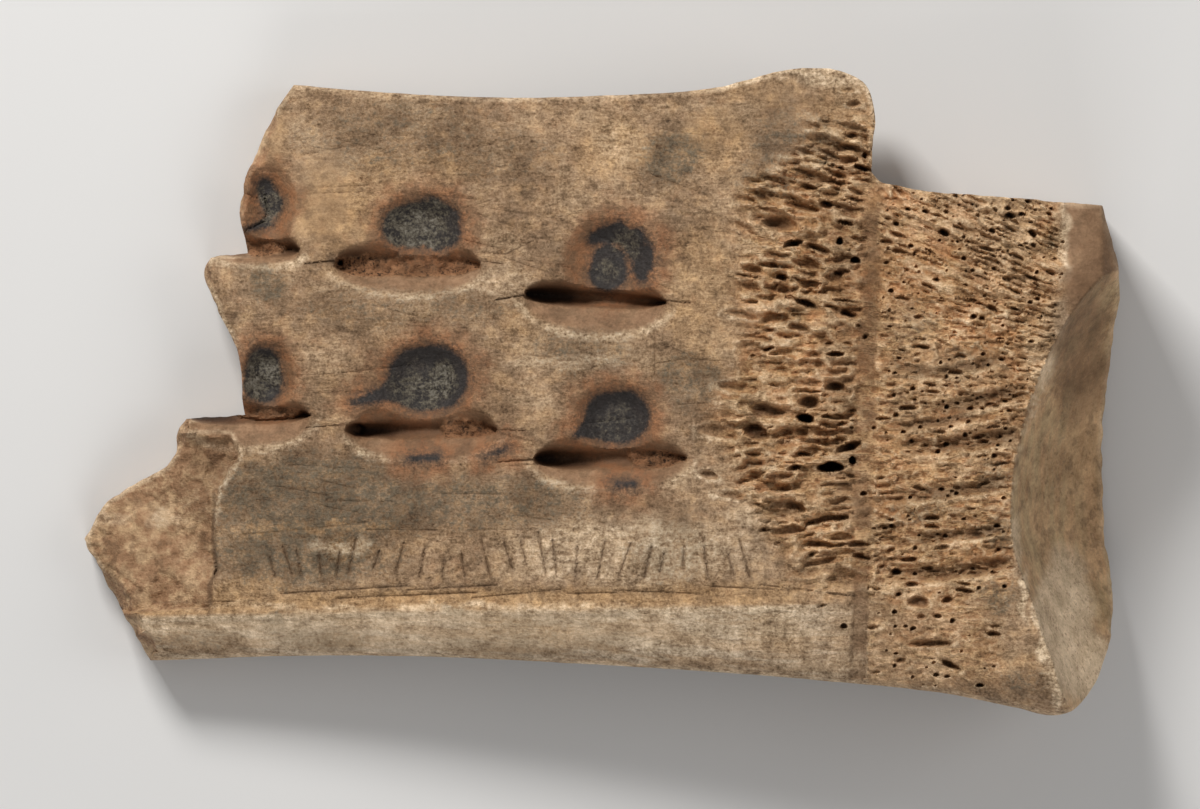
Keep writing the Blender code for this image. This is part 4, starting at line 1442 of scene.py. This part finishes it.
class Graph:
    """Short calls for building a material's nodes, with a base colour that is built up in coats."""

    def __init__(self, name, colour):
        """Starts a material with its first coat."""
        self.material = bpy.data.materials.new(name)
        self.material.use_nodes = True
        self.tree = self.material.node_tree
        self.shader = self.tree.nodes["Principled BSDF"]
        self.place = self.node("ShaderNodeTexCoord").outputs["Object"]
        self.colour = colour

    def follow(self, attribute):
        """Makes noise follow the mesh's grain instead of its y direction."""
        split = self.node("ShaderNodeSeparateXYZ")
        self.feed(split.inputs[0], self.place)
        grain = self.node("ShaderNodeAttribute", attribute_name=attribute)
        joined = self.node("ShaderNodeCombineXYZ")
        self.feed(joined.inputs[0], split.outputs[0])
        self.feed(joined.inputs[1], grain.outputs["Fac"])
        self.place = joined.outputs[0]

    def node(self, kind, **settings):
        """A new node with some of its settings changed."""
        made = self.tree.nodes.new(kind)
        for name, value in settings.items():
            setattr(made, name, value)
        return made

    def feed(self, socket, value):
        """Links an output to an input, or sets the input's value."""
        if isinstance(value, bpy.types.NodeSocket):
            self.tree.links.new(value, socket)
        else:
            socket.default_value = value

    def math(self, operation, first, second=0.0, clamp=False):
        """One sum, kept between 0 and 1 if clamp is set."""
        made = self.node("ShaderNodeMath", operation=operation, use_clamp=clamp)
        self.feed(made.inputs[0], first)
        self.feed(made.inputs[1], second)
        return made.outputs[0]

    def times(self, first, second, clamp=False):
        """A product."""
        return self.math("MULTIPLY", first, second, clamp)

    def plus(self, first, second, clamp=False):
        """A sum."""
        return self.math("ADD", first, second, clamp)

    def minus(self, first, second, clamp=False):
        """A difference."""
        return self.math("SUBTRACT", first, second, clamp)

    def around(self, noise, strength):
        """Noise with its middle at 0, times a strength."""
        return self.times(self.minus(noise, 0.5), strength)

    def noise(self, size, detail=2.0, roughness=0.55, stretch=(1.0, 1.0, 1.0), shift=0.0):
        """Noise from 0 to 1 in features about size millimetres across."""
        mapping = self.node("ShaderNodeMapping")
        self.feed(mapping.inputs["Vector"], self.place)
        mapping.inputs["Scale"].default_value = tuple(1.0 / (size * MM * axis) for axis in stretch)
        mapping.inputs["Location"].default_value = (shift, shift * 1.7, shift * 0.3)
        made = self.node("ShaderNodeTexNoise")
        self.feed(made.inputs["Vector"], mapping.outputs["Vector"])
        for name, value in (("Scale", 1.0), ("Detail", detail), ("Roughness", roughness)):
            made.inputs[name].default_value = value
        return made.outputs["Fac"]

    def step(self, value, low, high, strength=None):
        """0 below low, 1 above high, and an S curve between them, times a strength if there is one."""
        made = self.node("ShaderNodeMapRange", interpolation_type="SMOOTHSTEP")
        for name, given in (("Value", value), ("From Min", low), ("From Max", high)):
            self.feed(made.inputs[name], given)
        result = made.outputs["Result"]
        return result if strength is None else self.times(result, strength)

    def mix(self, share, first, second, blend="MIX"):
        """Mixes two colours."""
        made = self.node("ShaderNodeMix", data_type="RGBA", blend_type=blend)
        for number, value in ((0, share), (6, first), (7, second)):
            self.feed(made.inputs[number], value)
        return made.outputs[2]

    def coat(self, share, colour, blend="MIX"):
        """Mixes a share of another colour into the base colour."""
        self.colour = self.mix(share, self.colour, colour, blend)

    def marks(self):
        """The mesh's marks, by name."""
        found = SimpleNamespace()
        for names in mark_layers():
            layer = self.node("ShaderNodeAttribute", attribute_name=layer_name(names))
            split = self.node("ShaderNodeSeparateColor")
            self.feed(split.inputs[0], layer.outputs["Color"])
            for name, output in zip(names, (*split.outputs[:3], layer.outputs["Alpha"])):
                setattr(found, name, output)
        return found


def grey(value):
    """A neutral colour."""
    return (value, value, value, 1.0)


TAN_DARK = (0.265, 0.165, 0.092, 1.0)
TAN_LIGHT = (0.385, 0.25, 0.144, 1.0)
TAN_PALE = (0.45, 0.31, 0.185, 1.0)
GREY_BROWN = (0.195, 0.128, 0.075, 1.0)
OCHRE = (0.47, 0.285, 0.135, 1.0)
ORANGE = (0.40, 0.20, 0.09, 1.0)
GREY_GREEN = (0.098, 0.075, 0.047, 1.0)
CREAM = (0.70, 0.53, 0.35, 1.0)
PALE_OCHRE = (0.66, 0.44, 0.235, 1.0)
SPONGE_BROWN = (0.45, 0.245, 0.108, 1.0)
SPONGE_DARK = (0.17, 0.08, 0.033, 1.0)
SPONGE_TINT = (0.97, 0.935, 0.89, 1.0)
SPECKLE_BROWN = (0.15, 0.088, 0.045, 1.0)
SPONGE_RED = (0.38, 0.18, 0.075, 1.0)
SHALLOW_BROWN = (0.085, 0.038, 0.016, 1.0)
DEEP_BROWN = (0.016, 0.008, 0.004, 1.0)
CUT_BROWN = (0.085, 0.048, 0.026, 1.0)
SCRAPED_BROWN = (0.26, 0.145, 0.077, 1.0)
SHADE_BROWN = (0.125, 0.062, 0.027, 1.0)
FILL_DARK = (0.045, 0.02, 0.009, 1.0)
FILL_BROWN = (0.27, 0.135, 0.065, 1.0)
RAW_BROWN = (0.33, 0.18, 0.092, 1.0)
RAW_TAN = (0.46, 0.30, 0.165, 1.0)
BORDER_TAN = (0.46, 0.315, 0.19, 1.0)
BORDER_GREY = (0.57, 0.45, 0.32, 1.0)
SOCKET_OLIVE = (0.42, 0.29, 0.152, 1.0)
SOCKET_BROWN = (0.50, 0.305, 0.158, 1.0)
HALO_BROWN = (0.215, 0.112, 0.056, 1.0)
HALO_RED = (0.29, 0.128, 0.056, 1.0)
SINGED = (0.085, 0.052, 0.034, 1.0)
CHAR = (0.024, 0.024, 0.025, 1.0)
CHAR_GREY = (0.083, 0.074, 0.054, 1.0)
ASH = (0.19, 0.18, 0.155, 1.0)

# The tone changes red, green and blue by these powers, so that dark places are also warmer.
TONE_POWERS = (1.0, 1.12, 1.3)
BUMP_DEPTH = 0.3


def bone_noises(g):
    """The noises that mottle the bone, from broad patches to fine grit."""
    return SimpleNamespace(
        broad=g.noise(9.0, 3.0),
        patches=g.noise(4.5, 4.0, 0.65, (1.5, 1.0, 1.0), 41.0),
        middle=g.noise(2.2, 3.0, 0.6, shift=3.0),
        other=g.noise(1.7, 3.0, 0.65, shift=17.0),
        fine=g.noise(0.7, 4.0, 0.75, shift=7.0),
        finer=g.noise(0.32, 2.0, 0.6, shift=11.0),
        scratches=g.noise(0.45, 3.0, 0.6, (6.0, 1.0, 1.0), 31.0),
    )


def sponge_net(g, spongy):
    """The spongy bone's small brown cells, and the pale ridges between them, along the grain."""
    place = g.place
    g.follow("grain")
    nets = (g.noise(1.15, 2.0, 0.5, (2.8, 1.0, 1.0), 61.0), g.noise(0.6, 2.0, 0.5, (2.2, 1.0, 1.0), 67.0))
    g.place = place
    wide, narrow = (g.math("ABSOLUTE", g.minus(net, 0.5)) for net in nets)
    cells = g.plus(g.step(wide, 0.05, 0.16, 0.8), g.step(narrow, 0.05, 0.16, 0.5), True)
    ridges = g.plus(g.step(wide, 0.06, 0.0), g.step(narrow, 0.07, 0.0, 0.55), True)
    patchy = g.plus(g.step(g.noise(4.5, 2.0, 0.5, (1.6, 1.0, 1.0), 71.0), 0.4, 0.56, 0.75), 0.35, True)
    share = g.times(spongy, patchy)
    return g.times(cells, share), g.times(ridges, share)


def coat_blade(g, mark, noise):
    """Mottled tan, with ochre and orange patches."""
    g.coat(g.step(noise.broad, 0.36, 0.64), TAN_LIGHT)
    g.coat(g.step(noise.patches, 0.5, 0.62, 0.5), TAN_PALE)
    g.coat(g.step(noise.patches, 0.48, 0.36, 0.6), GREY_BROWN)
    g.coat(g.plus(g.step(noise.middle, 0.46, 0.7, 0.38), g.times(mark.warm, 0.65), True), OCHRE)
    g.coat(g.step(noise.other, 0.52, 0.74, 0.26), ORANGE)


def coat_kinds(g, mark, noise, cells, ridges):
    """The spongy bone, the rear border, the scraped hollows, the split tip and the joint socket."""
    sponge = g.mix(g.step(noise.middle, 0.42, 0.6), SPONGE_BROWN, SPONGE_RED)
    g.coat(g.times(mark.spongy, g.step(noise.broad, 0.72, 0.42)), sponge)
    streaks = g.noise(1.6, 3.0, 0.6, (9.0, 1.0, 1.0), 37.0)
    border = g.mix(g.step(streaks, 0.42, 0.62), BORDER_TAN, BORDER_GREY)
    # The rear border band, partly its own paler colour and partly painted light.
    g.coat(g.times(mark.border, 0.75), g.mix(g.times(mark.warm, 0.6), border, OCHRE))
    g.coat(g.times(mark.scraped, 0.85), SCRAPED_BROWN)
    g.coat(g.times(cells, 0.62), SPONGE_DARK)
    g.coat(g.times(ridges, 0.7), PALE_OCHRE)
    g.coat(g.times(mark.raw, 0.8), g.mix(g.step(noise.middle, 0.4, 0.62), RAW_BROWN, RAW_TAN))
    runs = g.noise(3.0, 3.0, 0.6, (0.6, 3.5, 1.0), 29.0)
    socket = g.mix(g.step(runs, 0.35, 0.65), SOCKET_OLIVE, SOCKET_BROWN)
    g.coat(mark.socket, g.mix(g.times(mark.warm, 0.7), socket, SOCKET_BROWN))


def coat_stains(g, mark, noise, rough):
    """Speckles, grey and pale stains, painted highlights, crumbling bone, and painted shade with brown
    patches, all broken up by a mottle.
    """
    mottle = g.plus(g.around(noise.fine, 2.6), g.around(noise.other, 1.6))
    mottle = g.times(g.plus(mottle, g.around(noise.scratches, 0.8)), rough)
    plain = g.minus(1.0, mark.spongy)
    g.coat(g.times(g.times(g.step(noise.other, 0.50, 0.36), plain), 0.45), SPECKLE_BROWN)
    grey_share = g.plus(g.times(mark.grey, 1.0), g.minus(g.times(mottle, 1.4), 0.3), True)
    grey_share = g.times(grey_share, g.step(mark.grey, 0.02, 0.3))
    g.coat(g.times(grey_share, g.minus(0.9, g.times(mark.raw, 0.5))), GREY_GREEN)
    # Pale stains and painted highlights.
    pale_share = g.times(mark.pale, g.plus(mottle, 0.8), True)
    g.coat(g.times(pale_share, 0.88), g.mix(g.times(mark.spongy, 0.4), CREAM, PALE_OCHRE))
    specks = g.times(g.times(mark.socket, mark.pale, True), g.step(noise.fine, 0.52, 0.64))
    g.coat(g.times(specks, 0.6), HALO_BROWN)
    crumbs = g.step(g.plus(noise.fine, g.around(noise.finer, 0.5)), 0.36, 0.5)
    g.coat(mark.fill, g.mix(crumbs, FILL_DARK, FILL_BROWN))
    # Painted shade, with some brown patches and the saw band's brown.
    shade_share = g.times(mark.shade, g.plus(g.times(mottle, 0.5), 0.85), True)
    g.coat(g.times(shade_share, 0.85), SHADE_BROWN)
    g.coat(g.minus(mark.spongy, g.times(mark.pale, 0.6), True), SPONGE_TINT, "MULTIPLY")


def coat_tone(g, mark, noise, rough):
    """Makes the whole colour darker and lighter in grit and scratches, and returns how much."""
    calm = g.plus(g.plus(mark.scraped, mark.socket), g.times(mark.raw, 0.8))
    calm = g.plus(calm, g.times(mark.spongy, 0.6), True)
    busy = g.times(g.minus(1.0, g.times(calm, 0.4)), rough)
    tone = g.plus(g.around(noise.fine, 1.8), g.around(noise.finer, 1.5))
    tone = g.plus(g.times(g.plus(tone, g.around(noise.scratches, 1.1)), busy), 1.0)
    tone = g.plus(tone, g.around(g.noise(5.0, 2.0, 0.5, shift=23.0), 0.9))
    tone = g.math("MAXIMUM", g.plus(tone, g.around(noise.middle, 1.1)), 0.3)
    toned = g.node("ShaderNodeCombineColor")
    for channel, power in enumerate(TONE_POWERS):
        g.feed(toned.inputs[channel], g.math("POWER", tone, power))
    g.coat(1.0, toned.outputs[0], "MULTIPLY")
    return tone


def coat_depths(g, mark):
    """Dark cuts, and painted shade in the pores, troughs and trench floors."""
    g.coat(g.times(mark.line, 0.6), CUT_BROWN)
    # Painted shade in the pores, the troughs and the dents of broken walls.
    g.coat(g.step(mark.cavity, 0.2, 1.4, 0.7), SHALLOW_BROWN)
    g.coat(g.step(mark.cavity, 1.3, 2.8), DEEP_BROWN)
    # Painted shade on the trench floors.
    g.coat(g.step(mark.soot, 0.1, 0.75), SHALLOW_BROWN)
    g.coat(g.step(mark.soot, 0.6, 1.0), DEEP_BROWN)


def coat_scorches(g, mark, noise, tone):
    """Char with ash on it, a singed edge and a red-brown halo, by the distance outside the char."""
    frayed = g.plus(g.around(noise.fine, 2.6), g.around(noise.finer, 2.0))
    halo = g.mix(g.step(noise.other, 0.40, 0.60), HALO_BROWN, HALO_RED)
    halo = g.mix(0.7, halo, g.mix(1.0, halo, tone, "MULTIPLY"))
    g.coat(g.step(g.plus(mark.scorch, g.around(noise.middle, 4.0)), 4.0, 0.8, 0.85), halo)
    g.coat(g.step(g.plus(mark.scorch, g.times(frayed, 0.8)), 1.1, 0.0, 0.6), SINGED)
    ashy = g.plus(g.times(frayed, 1.4), g.plus(g.around(noise.other, 3.0), 0.75))
    ashy = g.times(mark.ash, ashy, True)
    char = g.mix(g.step(ashy, 0.1, 0.6), CHAR, CHAR_GREY)
    char = g.mix(g.step(ashy, 0.5, 1.2, 0.5), char, ASH)
    char = g.mix(1.0, char, g.plus(g.times(frayed, 0.8), 1.0), "MULTIPLY")
    g.coat(g.step(g.plus(mark.scorch, g.times(frayed, 0.35)), 0.35, -0.35, 0.92), char)


def add_bump(g, mark, noise, rough, ridges):
    """Fine relief: grit, scratches, the spongy bone's ridges and crumbling bone."""
    height = g.plus(g.times(noise.finer, 0.5), g.times(noise.fine, 1.0))
    height = g.times(g.plus(height, g.times(noise.scratches, 0.45)), rough)
    height = g.plus(height, g.times(ridges, 0.3))
    height = g.plus(height, g.times(g.times(mark.fill, noise.fine), 1.5))
    bump = g.node("ShaderNodeBump")
    bump.inputs["Strength"].default_value = 1.0
    bump.inputs["Distance"].default_value = BUMP_DEPTH * MM
    g.feed(bump.inputs["Height"], height)
    g.feed(g.shader.inputs["Normal"], bump.outputs["Normal"])


def bone_material():
    """Weathered bone: mottled tan, stained, scorched in the hollows, with painted shade in the pores and
    trenches and painted highlights on lips, rims and crests.
    """
    g = Graph("weathered_bone", TAN_DARK)
    mark, noise = g.marks(), bone_noises(g)
    rough = g.minus(1.0, g.times(mark.smooth, 0.65))
    cells, ridges = sponge_net(g, g.minus(mark.spongy, mark.fill, True))
    coat_blade(g, mark, noise)
    coat_kinds(g, mark, noise, cells, ridges)
    coat_stains(g, mark, noise, rough)
    tone = coat_tone(g, mark, noise, rough)
    coat_depths(g, mark)
    coat_scorches(g, mark, noise, tone)
    g.feed(g.shader.inputs["Base Color"], g.colour)
    g.feed(g.shader.inputs["Roughness"], g.plus(g.times(noise.middle, 0.2), 0.6))
    g.shader.inputs["Specular IOR Level"].default_value = 0.3
    add_bump(g, mark, noise, rough, ridges)
    return g.material


def floor_material():
    """Pale matt board."""
    g = Graph("pale_board", grey(0.70))
    g.coat(g.noise(60.0), grey(0.74))
    g.feed(g.shader.inputs["Base Color"], g.colour)
    g.shader.inputs["Roughness"].default_value = 0.9
    return g.material


# ---------------------------------------------------------------- floor, light, camera


def link(name, data):
    """A new object in the scene."""
    made = bpy.data.objects.new(name, data)
    bpy.context.scene.collection.objects.link(made)
    return made


def add_floor():
    """A plain pale floor under the bone."""
    mesh = bpy.data.meshes.new("floor")
    signs = ((-1, -1), (1, -1), (1, 1), (-1, 1))
    corners = [(x * FLOOR_HALF_WIDTH, y * FLOOR_HALF_WIDTH, 0.0) for x, y in signs]
    mesh.from_pydata(corners, [], [(0, 1, 2, 3)])
    mesh.materials.append(floor_material())
    link("floor", mesh)


def add_light(name, azimuth, elevation, distance, size, power, colour):
    """A square soft light that faces the bone. Azimuth 0 is towards +Y, and 90 towards +X."""
    data = bpy.data.lights.new(name, "AREA")
    data.size = size
    data.energy = power
    data.color = colour
    light = link(name, data)
    flat = cos(radians(elevation))
    toward = Vector((sin(radians(azimuth)) * flat, cos(radians(azimuth)) * flat, sin(radians(elevation))))
    light.location = toward * distance
    light.rotation_euler = toward.to_track_quat("Z", "Y").to_euler()


def add_world():
    """Even light from all round."""
    world = bpy.data.worlds.new("studio")
    world.use_nodes = True
    background = world.node_tree.nodes["Background"]
    background.inputs["Color"].default_value = WORLD_COLOUR
    background.inputs["Strength"].default_value = WORLD_STRENGTH
    bpy.context.scene.world = world


def add_camera():
    """Looks straight down on the bone."""
    data = bpy.data.cameras.new("camera")
    data.lens = LENS
    data.sensor_width = SENSOR
    data.clip_end = VIEW_END
    camera = link("camera", data)
    middle = Vector((*VIEW_MIDDLE, FACE_LEVEL)) * MM
    camera.location = middle + Vector((0.0, 0.0, VIEW_WIDTH * MM * LENS / SENSOR))
    bpy.context.scene.camera = camera


def main():
    """Makes the bone, its floor and its lights."""
    bone = link("oracle_bone", bone_mesh())
    bone.data.materials.append(bone_material())
    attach(bone, "root")
    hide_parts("bone")
    add_floor()
    add_world()
    for light in LIGHTS:
        add_light(*light)
    add_camera()
    bpy.context.scene.view_settings.view_transform = "Standard"


main()
